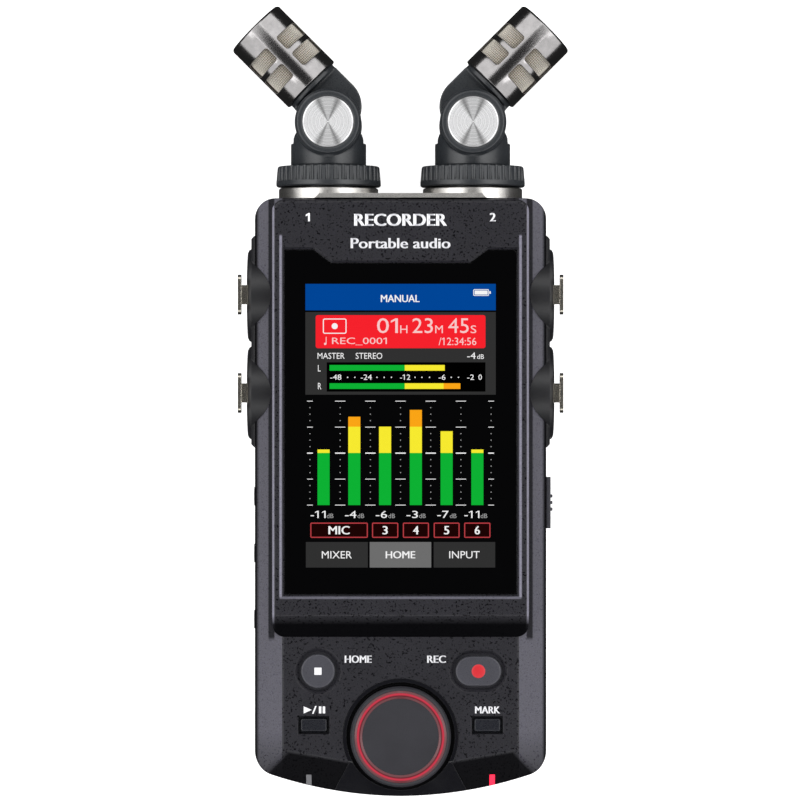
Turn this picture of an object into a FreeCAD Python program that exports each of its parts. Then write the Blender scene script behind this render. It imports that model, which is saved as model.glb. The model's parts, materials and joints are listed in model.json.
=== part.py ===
"""Portable field recorder, lying on its back: +X right, +Y towards the microphones, +Z out of the screen."""
import FreeCAD, Part
import Sketcher
import math
import os

os.makedirs("parts", exist_ok=True)
V = FreeCAD.Vector
doc = FreeCAD.newDocument("field_recorder")
sheet = doc.addObject("Spreadsheet::Sheet", "size")

# Driving dimensions in millimetres and degrees.
DIMENSIONS = {
    # case
    "case_width": 77.0, "case_top": 53.2, "case_bottom": -104.6, "bottom_arc": 106.0, "part_line": 15.5,
    "panel_level": 30.0, "panel_half": 30.9, "flank_level": 25.4, "wall": 2.0, "top_corner": 5.3,
    "bottom_corner": 6.6, "back_edge": 2.4, "chin_start": -97.5, "chin_slope": 0.5, "edge_round": 0.7,
    # display island
    "island_half": 33.75, "island_top": 52.7, "island_foot": -62.35, "island_slope": 5.8,
    "island_level": 33.4,
    "glass_half": 30.5, "glass_top": 39.4, "glass_foot": -51.0, "glass_level": 32.7, "glass_depth": 1.2,
    "notch_outer": 22.9, "notch_inner": 18.2, "notch_drop": 3.5, "lcd_half": 26.5, "lcd_top": 34.5,
    "lcd_foot": -47.0, "lcd_depth": 1.4, "island_round": 0.9,
    # controls
    "dial_y": -88.6, "dial_r": 13.25, "dial_level": 31.4, "dial_under": 26.3, "well_r": 14.3,
    "well_floor": 25.8,
    "surround_r": 15.3, "surround_under": 23.4, "ring_r": 12.15, "ring_width": 2.1, "ring_rise": 0.15,
    "key_top": 24.9, "button_under": 27.2, "button_travel": 0.5, "flange_height": 0.7, "flange_margin": 1.3,
    "round_x": 21.75, "round_y": -71.4, "round_r": 4.45, "record_x": 20.5, "record_length": 12.0,
    "record_width": 7.8, "bar_x": 22.85, "bar_y": -85.6, "bar_length": 6.9, "bar_width": 3.4,
    "round_gap": 0.75, "bar_gap": 0.6, "round_bevel": 0.9, "bar_bevel": 0.2, "light_x": 24.2,
    "light_top": -98.8,
    "light_width": 1.5,
    # sides
    "socket_y_high": 27.8, "socket_y_low": 1.86, "socket_z": 15.5, "boss_r": 12.5, "boss_face": 40.6,
    "boss_inner": 34.0, "side_face": 39.5, "side_top": 43.4, "side_foot": -12.5, "side_low": 3.2,
    "side_high": 25.0, "mouth_r": 9.7, "core_r": 7.7, "core_face": 38.6, "plug_r": 3.2, "plug_depth": 15.0,
    "socket_inner": 21.5, "latch_z": 26.4, "latch_height": 4.0, "latch_plate": 10.5, "latch_thick": 0.9,
    "latch_face": 42.9, "latch_stem": 5.1,
    "jack_z": 20.6, "jack_r": 1.8, "jack_nose_r": 2.5, "jack_face": 38.8, "jack_depth": 12.5,
    "jack_a_y": -25.5, "jack_b_y": -40.6, "jack_c_y": -58.1,
    "slider_y": -27.2, "slider_length": 13.6, "slider_width": 4.6, "slider_face": 39.75,
    "usb_y": -45.0, "card_y": -62.0,
    # battery
    "cell_r": 7.1, "cell_length": 49.2, "cell_pitch": 14.3, "cell_z": 9.3, "tray_half": 31.0,
    "tray_top": -31.0,
    "tray_foot": -90.0, "tray_level": 17.7, "cover_depth": 1.6, "cover_travel": 6.0,
    # boards and inside pieces
    "board_level": 18.6, "board_depth": 1.4, "key_level": 23.2, "tripod_y": -20.5, "tripod_r": 3.2,
    "nut_r": 6.0, "screw_r": 1.9, "screw_shank": 1.1, "nut_depth": 8.0, "speaker_y": 31.0, "speaker_r": 9.0,
    # microphones
    "mic_x": 19.15, "mic_z": 17.5, "pivot_y": 73.4, "mic_tilt": 45.0, "barrel_offset": 4.17,
    "barrel_base": 10.25,
    "barrel_tip": 32.05, "barrel_r": 8.6, "barrel_wall": 0.9, "yoke_r": 10.0, "yoke_top": 72.9,
    "yoke_round": 4.4,
    "ear_r": 8.8, "ear_face": 10.2, "slot_half": 3.4, "slot_r": 9.5, "slot_drop": 5.3, "hub_r": 8.5,
    "hub_half": 3.2,
    "neck_r": 7.7, "heel_shift": 2.6, "collar_r": 13.2, "collar_top": 56.2, "ring_low": 56.6,
    "ring_high": 62.0,
    "lock_r": 13.9, "stem_r": 9.2, "disc_r": 6.7, "cap_ring_r": 8.3, "cap_level": 11.2, "pin_r": 2.5,
    "running": 0.06, "plate_rise": 1.2, "plate_front": 32.2, "plate_back": 5.7, "plate_half": 22.6,
}
for row, (alias, amount) in enumerate(DIMENSIONS.items(), start=1):
    sheet.set(f"A{row}", alias)
    sheet.set(f"B{row}", str(amount))
    sheet.setAlias(f"B{row}", alias)
doc.recompute()

nodes = []
SIDES = {"left": -1, "right": 1}


def expr(text):
    """Full expression for a short one: a word that is a dimension's alias gets the sheet's name in front."""
    words = "".join(c if c.isalnum() or c in "_." else f" {c} " for c in str(text)).split()
    return "".join(f"size.{word}" if word in DIMENSIONS else word for word in words)


def number(text):
    """Value of an expression of the sheet's dimensions."""
    return float(doc.getObject("probe").evalExpression(expr(text)))


doc.addObject("App::FeaturePython", "probe")


def bind(obj, **sizes):
    """Bind an object's properties to expressions."""
    for name, text in sizes.items():
        obj.setExpression(name, expr(text))


def place(obj, x="0", y="0", z="0", rotation=None):
    """Place an object at three expressions, turned by a fixed rotation."""
    obj.Placement = FreeCAD.Placement(V(number(x), number(y), number(z)), rotation or FreeCAD.Rotation())
    bind(obj, **{"Placement.Base.x": x, "Placement.Base.y": y, "Placement.Base.z": z})
    return obj


def facing(direction, first):
    """Rotation that turns local Z to one direction and local X to another."""
    z_axis, x_axis = V(*direction), V(*first)
    return FreeCAD.Rotation(x_axis, z_axis.cross(x_axis), z_axis, "ZXY")


SIDEWAYS = {side: facing((sign, 0, 0), (0, sign, 0)) for side, sign in SIDES.items()}
UPWARDS = facing((0, 1, 0), (1, 0, 0))


def keep(obj, label):
    """Name an object as one node of the assembly."""
    obj.Label = label
    nodes.append(obj)
    return obj


def new_body(name):
    return doc.addObject("PartDesign::Body", name)


def new_sketch(body, role="XY_Plane", offset="0", turned=0.0):
    """Sketch on one of the body's origin planes, moved along its normal or turned about its own Y axis."""
    sketch = body.newObject("Sketcher::SketchObject", "sketch")
    support = [item for item in body.Origin.OriginFeatures if item.Role == role][0]
    sketch.AttachmentSupport = [(support, "")]
    sketch.MapMode = "FlatFace"
    sketch.AttachmentOffset = FreeCAD.Placement(V(), FreeCAD.Rotation(V(0, 1, 0), turned))
    bind(sketch, **{"AttachmentOffset.Base.z": offset})
    return sketch


def lock(sketch, index, vertex, x, y):
    """Hold a sketch vertex at two expressions measured from the sketch's origin."""
    for kind, text in (("DistanceX", x), ("DistanceY", y)):
        constraint = sketch.addConstraint(Sketcher.Constraint(kind, -1, 1, index, vertex, number(text)))
        sketch.renameConstraint(constraint, f"c{constraint}")
        sketch.setExpression(f"Constraints.c{constraint}", expr(text))


def polygon(sketch, points, arc=None, radius="0"):
    """Closed outline through points of two expressions; edge number arc is an arc that bulges towards -Y."""
    corners = [V(number(x), number(y), 0) for x, y in points]
    first = sketch.GeometryCount
    for index, start in enumerate(corners):
        end = corners[(index + 1) % len(corners)]
        if index == arc:
            reach = number(radius)
            middle = (start + end) * 0.5
            centre = middle + V(0, math.sqrt(reach ** 2 - (end - start).Length ** 2 / 4), 0)
            edge = Part.Arc(start, centre - V(0, reach, 0), end)
        else:
            edge = Part.LineSegment(start, end)
        sketch.addGeometry(edge, False)
    for index, (x, y) in enumerate(points):
        if index != arc:
            lock(sketch, first + index, 1, x, y)
            end = points[(index + 1) % len(points)]
            lock(sketch, first + index, 2, *end)
    return sketch


def circle(sketch, x, y, radius):
    index = sketch.addGeometry(Part.Circle(V(number(x), number(y), 0), V(0, 0, 1), number(radius)), False)
    lock(sketch, index, 3, x, y)
    constraint = sketch.addConstraint(Sketcher.Constraint("Radius", index, number(radius)))
    sketch.renameConstraint(constraint, f"c{constraint}")
    sketch.setExpression(f"Constraints.c{constraint}", expr(radius))
    return sketch


def oblong(sketch, x, y, length, width):
    """Rectangle by its centre."""
    left, right = f"{x}-({length})/2", f"{x}+({length})/2"
    low, high = f"{y}-({width})/2", f"{y}+({width})/2"
    return polygon(sketch, [(left, low), (right, low), (right, high), (left, high)])


def stadium(sketch, x, y, length, width):
    """Straight-sided outline with half-round ends."""
    reach, radius = number(f"(({length})-({width}))/2"), number(f"({width})/2")
    centre = V(number(x), number(y), 0)
    ends = []
    for sign in (-1, 1):
        middle = centre + V(sign * reach, 0, 0)
        top, low = middle + V(0, radius, 0), middle - V(0, radius, 0)
        first, last = (top, low) if sign < 0 else (low, top)
        ends.append(sketch.addGeometry(Part.Arc(first, middle + V(sign * radius, 0, 0), last), False))
    for start, finish in ((ends[0], ends[1]), (ends[1], ends[0])):
        a, b = sketch.getPoint(start, 2), sketch.getPoint(finish, 1)
        line = sketch.addGeometry(Part.LineSegment(a, b), False)
        sketch.addConstraint(Sketcher.Constraint("Tangent", start, 2, line, 1))
        sketch.addConstraint(Sketcher.Constraint("Tangent", line, 2, finish, 1))
    for sign, arc in zip((-1, 1), ends):
        lock(sketch, arc, 3, f"{x}+({sign})*(({length})-({width}))/2", y)
    constraint = sketch.addConstraint(Sketcher.Constraint("Radius", ends[0], radius))
    sketch.renameConstraint(constraint, f"c{constraint}")
    sketch.setExpression(f"Constraints.c{constraint}", expr(f"({width})/2"))
    return sketch


def pad(body, sketch, length, back=False):
    feature = body.newObject("PartDesign::Pad", "pad")
    feature.Profile = sketch
    feature.Reversed = back
    bind(feature, Length=length)
    doc.recompute()
    return body


def pocket(body, sketch, length, upwards=False):
    """Cut a sketch out of the body, down or up from its plane, and check that it removed material."""
    before = body.Shape.Volume
    feature = body.newObject("PartDesign::Pocket", "pocket")
    feature.Profile = sketch
    feature.Reversed = upwards
    bind(feature, Length=length)
    doc.recompute()
    if body.Shape.Volume > before - 0.01:
        raise RuntimeError(f"{body.Label}: a pocket cuts nothing")
    return body


def revolve(body, points):
    """Turn a profile of (radius, height) points round the body's Z axis."""
    sketch = polygon(new_sketch(body, "XZ_Plane"), points)
    feature = body.newObject("PartDesign::Revolution", "turning")
    feature.Profile = sketch
    feature.ReferenceAxis = (sketch, ["V_Axis"])
    feature.Angle = 360
    doc.recompute()
    return body


def edge_work(body, kind, size, chosen):
    """Fillet or chamfer the edges of the body that a test picks."""
    picked = [f"Edge{i}" for i, edge in enumerate(body.Shape.Edges, start=1) if chosen(edge)]
    before = body.Tip
    feature = body.newObject(f"PartDesign::{kind}", kind.lower())
    feature.Base = (before, picked)
    bind(feature, **{"Radius" if kind == "Fillet" else "Size": size})
    doc.recompute()
    return body


def repeat_round(body, count):
    """Repeat the body's last cut round its Z axis."""
    original = body.Tip
    pattern = body.newObject("PartDesign::PolarPattern", "pattern")
    pattern.Originals = [original]
    pattern.Axis = ([item for item in body.Origin.OriginFeatures if item.Role == "Z_Axis"][0], [""])
    pattern.Angle = 360
    pattern.Occurrences = count
    body.Tip = pattern
    doc.recompute()


def upright(edge):
    """An edge along the body's Z axis."""
    box = edge.BoundBox
    return box.XLength < 1e-4 and box.YLength < 1e-4


def level(z):
    """Test for edges that lie at one height."""
    height = number(z)
    return lambda edge: abs(edge.BoundBox.ZMin - height) < 1e-4 and abs(edge.BoundBox.ZMax - height) < 1e-4


def near(x, y, reach, z):
    """Test for edges at one height that lie wholly within a square round a point."""
    centre_x, centre_y, half, flat = number(x), number(y), number(reach), level(z)

    def chosen(edge):
        bounds = edge.BoundBox
        sides = (centre_x - bounds.XMin, bounds.XMax - centre_x, centre_y - bounds.YMin,
                 bounds.YMax - centre_y)
        return flat(edge) and max(sides) < half
    return chosen


def combine(kind, name, shapes):
    """Boolean of several document objects: Cut takes the others from the first."""
    if kind == "Cut":
        tool = shapes[1] if len(shapes) == 2 else combine("MultiFuse", f"{name}_tools", shapes[1:])
        result = doc.addObject("Part::Cut", name)
        result.Base, result.Tool = shapes[0], tool
    else:
        result = doc.addObject(f"Part::{kind}", name)
        result.Shapes = list(shapes)
    doc.recompute()
    return result


def box(name, low, sides):
    """Box from its low corner and three sides, all expressions."""
    solid = doc.addObject("Part::Box", name)
    bind(solid, Length=sides[0], Width=sides[1], Height=sides[2])
    return place(solid, *low)


def rod(name, radius, length, x, y, z, rotation=None):
    """Cylinder from the middle of one end."""
    solid = doc.addObject("Part::Cylinder", name)
    bind(solid, Radius=radius, Height=length)
    return place(solid, x, y, z, rotation)


def group(name, shapes):
    """Several separate solids kept as one node."""
    compound = doc.addObject("Part::Compound", name)
    compound.Links = shapes
    doc.recompute()
    return compound


CHIN_ANGLE = 9.8


# ------------------------------------------------------------------ case
def case_outline(sketch, inset="0"):
    """Plan outline of the case: straight sides, a flat top and a bottom that bulges as one long arc."""
    half = f"(case_width/2-{inset})"
    reach = f"(bottom_arc-{inset})"
    corner_y = f"(case_bottom+bottom_arc-sqrt(pow({reach};2)-pow({half};2)))"
    top = f"case_top-{inset}"
    points = [(f"-{half}", corner_y), (half, corner_y), (half, top), (f"-{half}", top)]
    return polygon(sketch, points, arc=0, radius=reach)


def round_case_corners(body):
    edge_work(body, "Fillet", "bottom_corner", lambda edge: upright(edge) and edge.BoundBox.YMin < 0)
    edge_work(body, "Fillet", "top_corner", lambda edge: upright(edge) and edge.BoundBox.YMin > 0)


def flank_wedges(body, half, top, low_half, low):
    """Slope the two long edges of a block down and outwards."""
    out, over = f"({low_half}+8)", f"({top}+8)"
    drop = f"({low}-8*({top}-{low})/({low_half}-{half}))"
    for sign in ("-", ""):
        wedge = [(f"{sign}({half})", top), (f"{sign}{out}", drop), (f"{sign}{out}", over),
                 (f"{sign}({half})", over)]
        pocket(body, polygon(new_sketch(body, "XZ_Plane", "120"), wedge), "260")


def front_envelope():
    """Outside of the front shell: a block with sloping flanks and a chin that slopes to the bottom edge."""
    body = new_body("front_envelope")
    pad(body, case_outline(new_sketch(body, offset="part_line")), "panel_level-part_line")
    round_case_corners(body)
    flank_wedges(body, "panel_half", "panel_level", "case_width/2", "flank_level")
    # each half of the chin starts on a line that runs down towards the middle, as the bottom edge does
    for turned in (CHIN_ANGLE, -CHIN_ANGLE):
        start = f"(chin_start*cos({turned}deg)+80*sin({turned}deg))"
        chin = [(start, "panel_level"), (f"{start}-24", "panel_level-24*chin_slope"),
                (f"{start}-24", "panel_level+5"),
                (start, "panel_level+5")]
        pocket(body, polygon(new_sketch(body, "YZ_Plane", "80", turned), chin), "160")
    edge_work(body, "Fillet", "edge_round", lambda edge: edge.BoundBox.ZMin > number("flank_level-0.5"))
    return body


def control_outline(sketch, x, y, length, width, shape, margin="0"):
    """Outline of one button, or of its hole or flange with a margin all round."""
    if shape == "round":
        return circle(sketch, x, y, f"({length})/2+{margin}")
    draw = stadium if shape == "stadium" else oblong
    return draw(sketch, x, y, f"{length}+2*({margin})", f"{width}+2*({margin})")


CONTROLS = {
    "stop_button": ("-round_x", "round_y", "2*round_r", "2*round_r", "round"),
    "record_button": ("record_x", "round_y", "record_length", "record_width", "stadium"),
    "play_button": ("-bar_x", "bar_y", "bar_length", "bar_width", "oblong"),
    "mark_button": ("bar_x", "bar_y", "bar_length", "bar_width", "oblong"),
}


def socket_places():
    """The four microphone sockets: name number, side and Y."""
    spots = []
    for side in SIDES:
        for y in ("socket_y_high", "socket_y_low"):
            spots.append((len(spots) + 1, side, y))
    return spots


def side_x(side, distance):
    return f"{SIDES[side]}*({distance})"


def boss_cutters(name):
    """Cylinders that clear the socket bosses of the side panels out of a shell."""
    return [rod(f"{name}_{index}", "boss_r+0.05", "10", side_x(side, "boss_inner-0.5"), y, "socket_z",
                SIDEWAYS[side])
            for index, side, y in socket_places()]


def side_cutters(name):
    """Holes in the long sides for jacks, switch, USB socket and card slot."""
    tools = [rod(f"{name}_jack_{y[5]}", "jack_nose_r+0.05", "8", side_x("left", "34"), y, "jack_z",
                 SIDEWAYS["left"])
             for y in ("jack_a_y", "jack_b_y", "jack_c_y")]
    tools.append(box(f"{name}_switch", ("34", "slider_y-5", "jack_z-1"), ("6", "10", "2")))
    tools.append(box(f"{name}_usb", ("34", "usb_y-4.7", "jack_z-1.85"), ("6", "9.4", "3.7")))
    tools.append(box(f"{name}_card", ("34", "card_y-6", "jack_z-0.9"), ("6", "12", "1.8")))
    return tools


SCREWS = [(f"{sign}{x}", y) for x, y in (("34", "-26"), ("34", "-86"), ("15.5", "46.5"))
          for sign in ("-", "")]


def make_case():
    front = front_envelope()
    for inset, low, high in (("wall", "part_line", "flank_level-1.6"),
                             ("8", "flank_level-1.7", "panel_level-wall")):
        pocket(front, case_outline(new_sketch(front, offset=low), inset), f"({high})-({low})", upwards=True)
    for x, y, length, width, shape in CONTROLS.values():
        kind = "bar" if shape == "oblong" else "round"
        hole = control_outline(new_sketch(front, offset="panel_level+1"), x, y, length, width, shape,
                               f"{kind}_gap")
        pocket(front, hole, "6")
        rim = near(x, y, f"({length})/2+{kind}_gap+0.1", "panel_level")
        edge_work(front, "Chamfer", f"{kind}_bevel", rim)
    window = new_sketch(front, offset="panel_level+1")
    pocket(front, oblong(window, "0", "-8", "40", "60"), "6")
    surround_seat = circle(new_sketch(front, offset="panel_level+1"), "0", "dial_y", "surround_r")
    pocket(front, surround_seat, "panel_level+1-surround_under")
    scoop = scoop_outline(new_sketch(front, offset="panel_level+1"))
    pocket(front, scoop, "panel_level+1-surround_under")
    light_cutters = [light_pipe_block(f"light_hole_{side}", side) for side in SIDES]
    tools = boss_cutters("front_boss") + side_cutters("front") + light_cutters
    tools += [rod(f"front_socket_{index}", "mouth_r+0.1", "14", side_x(side, "socket_inner-1"), y, "socket_z",
                  SIDEWAYS[side]) for index, side, y in socket_places()]
    keep(combine("Cut", "front_shell", [front] + tools), "front_shell")

    rear = new_body("rear_block")
    pad(rear, case_outline(new_sketch(rear)), "part_line")
    round_case_corners(rear)
    edge_work(rear, "Chamfer", "back_edge", level("0"))
    pocket(rear, case_outline(new_sketch(rear, offset="wall"), "wall+0.6"), "part_line", upwards=True)
    bay = new_sketch(rear, offset="part_line")
    pocket(rear, oblong(bay, "0", "(tray_top+tray_foot)/2", "2*tray_half-2", "tray_top-tray_foot-2"),
           "part_line+1")
    recess = new_sketch(rear, offset="cover_depth+0.1")
    oblong(recess, "0", "(tray_top+tray_foot-cover_travel)/2", "2*tray_half+1",
           "tray_top-tray_foot+cover_travel-1")
    pocket(rear, recess, "3")
    nut_hole = circle(new_sketch(rear, offset="wall+1"), "0", "tripod_y", "nut_r-1")
    pocket(rear, nut_hole, "4")
    grille = new_sketch(rear, offset="wall+1")
    for ring, count in ((0, 1), (1, 6), (2, 12)):
        for hole in range(count):
            angle = 2 * math.pi * hole / count
            x, y = ring * 3.0 * math.cos(angle), ring * 3.0 * math.sin(angle)
            circle(grille, f"{x:.3f}", f"speaker_y+{y:.3f}", "0.7")
    pocket(rear, grille, "4")
    heads = new_sketch(rear, offset="1.6")
    shanks = new_sketch(rear, offset="wall+1")
    for x, y in SCREWS:
        circle(heads, x, y, "screw_r+0.1")
        circle(shanks, x, y, "screw_shank+0.1")
    pocket(rear, heads, "3")
    pocket(rear, shanks, "5")
    keep(combine("Cut", "rear_shell", [rear] + boss_cutters("rear_boss")), "rear_shell")

    trim = front_envelope()
    surround = new_body("surround_block")
    pad(surround, circle(new_sketch(surround, offset="surround_under"), "0", "dial_y", "surround_r-0.05"),
        "panel_level-surround_under")
    pad(surround, scoop_outline(new_sketch(surround, offset="surround_under"), "0.05"),
        "panel_level-surround_under")
    pocket(surround, circle(new_sketch(surround, offset="panel_level+1"), "0", "dial_y", "well_r"),
           "panel_level+1-well_floor")
    pocket(surround, circle(new_sketch(surround, offset="panel_level+1"), "0", "dial_y", "3.2"), "12")
    keep(combine("MultiCommon", "dial_surround", [surround, trim]), "dial_surround")
    for side in SIDES:
        pipe = light_pipe_block(f"pipe_{side}", side, "0.05")
        keep(combine("MultiCommon", f"light_{side}", [pipe, front_envelope()]), f"light_pipe_{side}")


def scoop_outline(sketch, inset="0"):
    """Plan of the dial surround's apron, which widens towards the bottom edge."""
    return polygon(sketch, [(f"-(13.3-{inset})", f"-95.0+{inset}"), (f"-(20.1-{inset})", "-108"),
                            (f"20.1-{inset}", "-108"), (f"13.3-{inset}", f"-95.0+{inset}")])


def light_pipe_block(name, side, inset="0"):
    """Block of an indicator, which reaches over the bottom edge of the case."""
    return box(name, (f"{side_x(side, 'light_x')}-light_width/2+{inset}", "light_top-4", f"23.4+{inset}"),
               (f"light_width-2*{inset}", f"4-{inset}", "8"))


# ------------------------------------------------------------------ display
def glass_outline(sketch, grow="0"):
    """Cover glass: a tall rectangle whose top edge steps down in the middle."""
    half, top, foot = f"(glass_half+{grow})", f"glass_top+{grow}", f"glass_foot-{grow}"
    step = f"glass_top-notch_drop+{grow}"
    return polygon(sketch, [(f"-{half}", foot), (half, foot), (half, top), ("notch_outer", top),
                            ("notch_inner", step), ("-notch_inner", step), ("-notch_outer", top),
                            (f"-{half}", top)])


def make_display():
    island = new_body("display_bezel")
    middle, length = "(island_top+island_foot)/2", "island_top-island_foot"
    pad(island, oblong(new_sketch(island, offset="27"), "0", middle, "2*island_half", length),
        "island_level-27")
    edge_work(island, "Fillet", "3.2", upright)
    out = "(island_half+3)"
    drop = f"(panel_level-({out}-panel_half)*(panel_level-flank_level)/(case_width/2-panel_half))"
    under = [("-panel_half", "panel_level"), ("panel_half", "panel_level"), (out, drop), (out, "20"),
             (f"-{out}", "20"),
             (f"-{out}", drop)]
    pocket(island, polygon(new_sketch(island, "XZ_Plane", "120"), under), "260")
    slope = [("island_foot+island_slope", "island_level"), ("island_foot-1", "island_level-3.9"),
             ("island_foot-1", "island_level+2"), ("island_foot+island_slope", "island_level+2")]
    pocket(island, polygon(new_sketch(island, "YZ_Plane", "60"), slope), "120")
    rim = number("island_slope+island_foot")
    edge_work(island, "Fillet", "island_round", lambda edge: level("island_level")(edge) or
              (edge.BoundBox.ZMax > number("island_level-0.1") and edge.BoundBox.YMax < rim + 0.1))
    seat = glass_outline(new_sketch(island, offset="island_level+1"), "0.1")
    pocket(island, seat, "1+island_level-glass_level+glass_depth")
    mouth = near("0", "(glass_top+glass_foot)/2", "(glass_top-glass_foot)/2+0.2", "island_level")
    edge_work(island, "Chamfer", "island_level-glass_level", mouth)
    well = new_sketch(island, offset="island_level")
    oblong(well, "0", "(lcd_top+lcd_foot)/2", "2*lcd_half+0.2", "lcd_top-lcd_foot+0.2")
    pocket(island, well, "8")
    keep(island, "display_bezel")
    glass = new_body("cover_glass")
    pad(glass, glass_outline(new_sketch(glass, offset="glass_level-glass_depth")), "glass_depth")
    edge_work(glass, "Fillet", "0.9",
              lambda edge: upright(edge) and abs(edge.BoundBox.XMin) > number("glass_half-1"))
    keep(glass, "cover_glass")
    lcd = new_body("lcd_module")
    pad(lcd, oblong(new_sketch(lcd, offset="glass_level-glass_depth-lcd_depth"), "0", "(lcd_top+lcd_foot)/2",
                    "2*lcd_half", "lcd_top-lcd_foot"), "lcd_depth")
    keep(lcd, "lcd_module")


# ------------------------------------------------------------------ controls
def make_controls():
    for name, (x, y, length, width, shape) in CONTROLS.items():
        button = new_body(name)
        rise = "panel_level-0.3-button_under" if shape == "oblong" else "panel_level-0.05-button_under"
        pad(button, control_outline(new_sketch(button), "0", "0", length, width, shape), rise)
        if shape == "oblong":
            edge_work(button, "Fillet", "0.6", upright)
        edge_work(button, "Fillet", "0.35", level(rise))
        flange = control_outline(new_sketch(button), "0", "0", length, width, shape, "flange_margin")
        pad(button, flange, "flange_height")
        stem = circle(new_sketch(button), "0", "0", "1.4")
        pad(button, stem, "button_under-key_top-button_travel-0.1", back=True)
        keep(place(button, x, y, "button_under"), name)
    knob = revolve(new_body("dial_knob"), [
        ("3.05", "dial_under"), ("dial_r-0.4", "dial_under"), ("dial_r", "dial_under+0.5"),
        ("dial_r", "dial_level-0.7"),
        ("dial_r-0.5", "dial_level-0.1"), ("ring_r", "dial_level"), ("ring_r", "dial_level-1"),
        ("ring_r-ring_width", "dial_level-1"), ("ring_r-ring_width", "dial_level"), ("0", "dial_level-0.3"),
        ("0", "dial_level-2.4"), ("3.05", "dial_level-2.4")])
    keep(place(knob, "0", "dial_y"), "dial_knob")
    ring = revolve(new_body("dial_ring"), [
        ("ring_r-ring_width+0.02", "dial_level-0.98"), ("ring_r-0.02", "dial_level-0.98"),
        ("ring_r-0.02", "dial_level-0.05"), ("ring_r-0.6", "dial_level+ring_rise"),
        ("ring_r-ring_width+0.6", "dial_level+ring_rise"), ("ring_r-ring_width+0.02", "dial_level-0.05")])
    keep(place(ring, "0", "dial_y"), "dial_ring")
    keep(rod("shaft", "3", "8.2", "0", "dial_y", "dial_level-2.42-8.2"), "dial_shaft")
    encoder = combine("Cut", "encoder", [
        box("encoder_case", ("-6", "dial_y-6", "18.2"), ("12", "12", "4.9")),
        rod("encoder_hole", "3+running", "6", "0", "dial_y", "20.5")])
    keep(encoder, "encoder_body")


# ------------------------------------------------------------------ sides
def make_side(side):
    """Side panel with two round socket bosses."""
    sign = SIDES[side]
    plate = new_body(f"side_plate_{side}")
    middle = "(side_top+side_foot)/2"
    sketch = new_sketch(plate)
    oblong(sketch, f"{sign}*{middle}", "(side_low+side_high)/2", "side_top-side_foot", "side_high-side_low")
    pad(plate, sketch, "side_face-case_width/2")
    edge_work(plate, "Chamfer", "0.8", level("side_face-case_width/2"))
    place(plate, side_x(side, "case_width/2"), "0", "0", SIDEWAYS[side])
    bosses = []
    mouths = []
    for index, where, y in socket_places():
        if where != side:
            continue
        boss = revolve(new_body(f"boss_{index}"), [
            ("0", "0"), ("boss_r", "0"), ("boss_r", "boss_face-boss_inner-1.1"),
            ("boss_r-0.4", "boss_face-boss_inner-0.35"), ("boss_r-1.1", "boss_face-boss_inner"),
            ("0", "boss_face-boss_inner")])
        bosses.append(place(boss, side_x(side, "boss_inner"), y, "socket_z", SIDEWAYS[side]))
        inner_x = side_x(side, "boss_inner-1")
        mouths.append(rod(f"mouth_{index}", "mouth_r", "12", inner_x, y, "socket_z", SIDEWAYS[side]))
        slot_corner = (f"{side_x(side, 'boss_inner+3.5')}-4.5", f"{y}-latch_stem/2-0.3", "latch_z-0.7")
        mouths.append(box(f"latch_slot_{index}", slot_corner, ("9", "latch_stem+0.6", "1.4")))
    whole = combine("MultiFuse", f"side_{side}_whole", [plate] + bosses)
    keep(combine("Cut", f"side_{side}", [whole] + mouths), f"side_panel_{side}")


def make_sockets():
    for index, side, y in socket_places():
        core = revolve(new_body(f"socket_core_{index}"), [
            ("0", "0"), ("mouth_r-0.15", "0"), ("mouth_r-0.15", "boss_inner-socket_inner-0.4"),
            ("core_r", "boss_inner-socket_inner-0.4"), ("core_r", "core_face-socket_inner-0.3"),
            ("core_r-0.3", "core_face-socket_inner"), ("plug_r", "core_face-socket_inner"),
            ("plug_r", "core_face-socket_inner-plug_depth"), ("0", "core_face-socket_inner-plug_depth")])
        pins = new_sketch(core, offset="core_face-socket_inner")
        for angle in (90, 210, 330):
            x, z = 5.4 * math.cos(math.radians(angle)), 5.4 * math.sin(math.radians(angle))
            circle(pins, f"{x:.3f}", f"{z:.3f}", "1.25")
        pocket(core, pins, "8")
        keep(place(core, side_x(side, "socket_inner"), y, "socket_z", SIDEWAYS[side]), f"xlr_jack_{index}")
        latch = new_body(f"latch_{index}")
        pad(latch, oblong(new_sketch(latch), "0", "0", "latch_stem", "1.0"),
            "latch_face-latch_thick-boss_inner-1.5")
        face = new_sketch(latch, offset="latch_face-latch_thick-boss_inner-1.5")
        pad(latch, oblong(face, "0", "latch_height/2-1", "latch_plate", "latch_height"), "latch_thick")
        edge_work(latch, "Fillet", "1.3",
                  lambda edge: upright(edge) and abs(edge.BoundBox.XMin) > number("latch_plate/2-0.1"))
        keep(place(latch, side_x(side, "boss_inner+1.5"), y, "latch_z", SIDEWAYS[side]), f"xlr_latch_{index}")
    for name, y in (("headphone_jack", "jack_a_y"), ("camera_jack", "jack_b_y"), ("line_jack", "jack_c_y")):
        jack = new_body(name)
        pad(jack, oblong(new_sketch(jack), "0", "0", "6.2", "5.4"), "jack_depth-2.6")
        nose = circle(new_sketch(jack, offset="jack_depth-2.6"), "0", "0", "jack_nose_r")
        pad(jack, nose, "2.6")
        pocket(jack, circle(new_sketch(jack, offset="jack_depth"), "0", "0", "jack_r"), "jack_depth-1")
        keep(place(jack, side_x("left", "jack_face-jack_depth"), y, "jack_z", SIDEWAYS["left"]), name)


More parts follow.
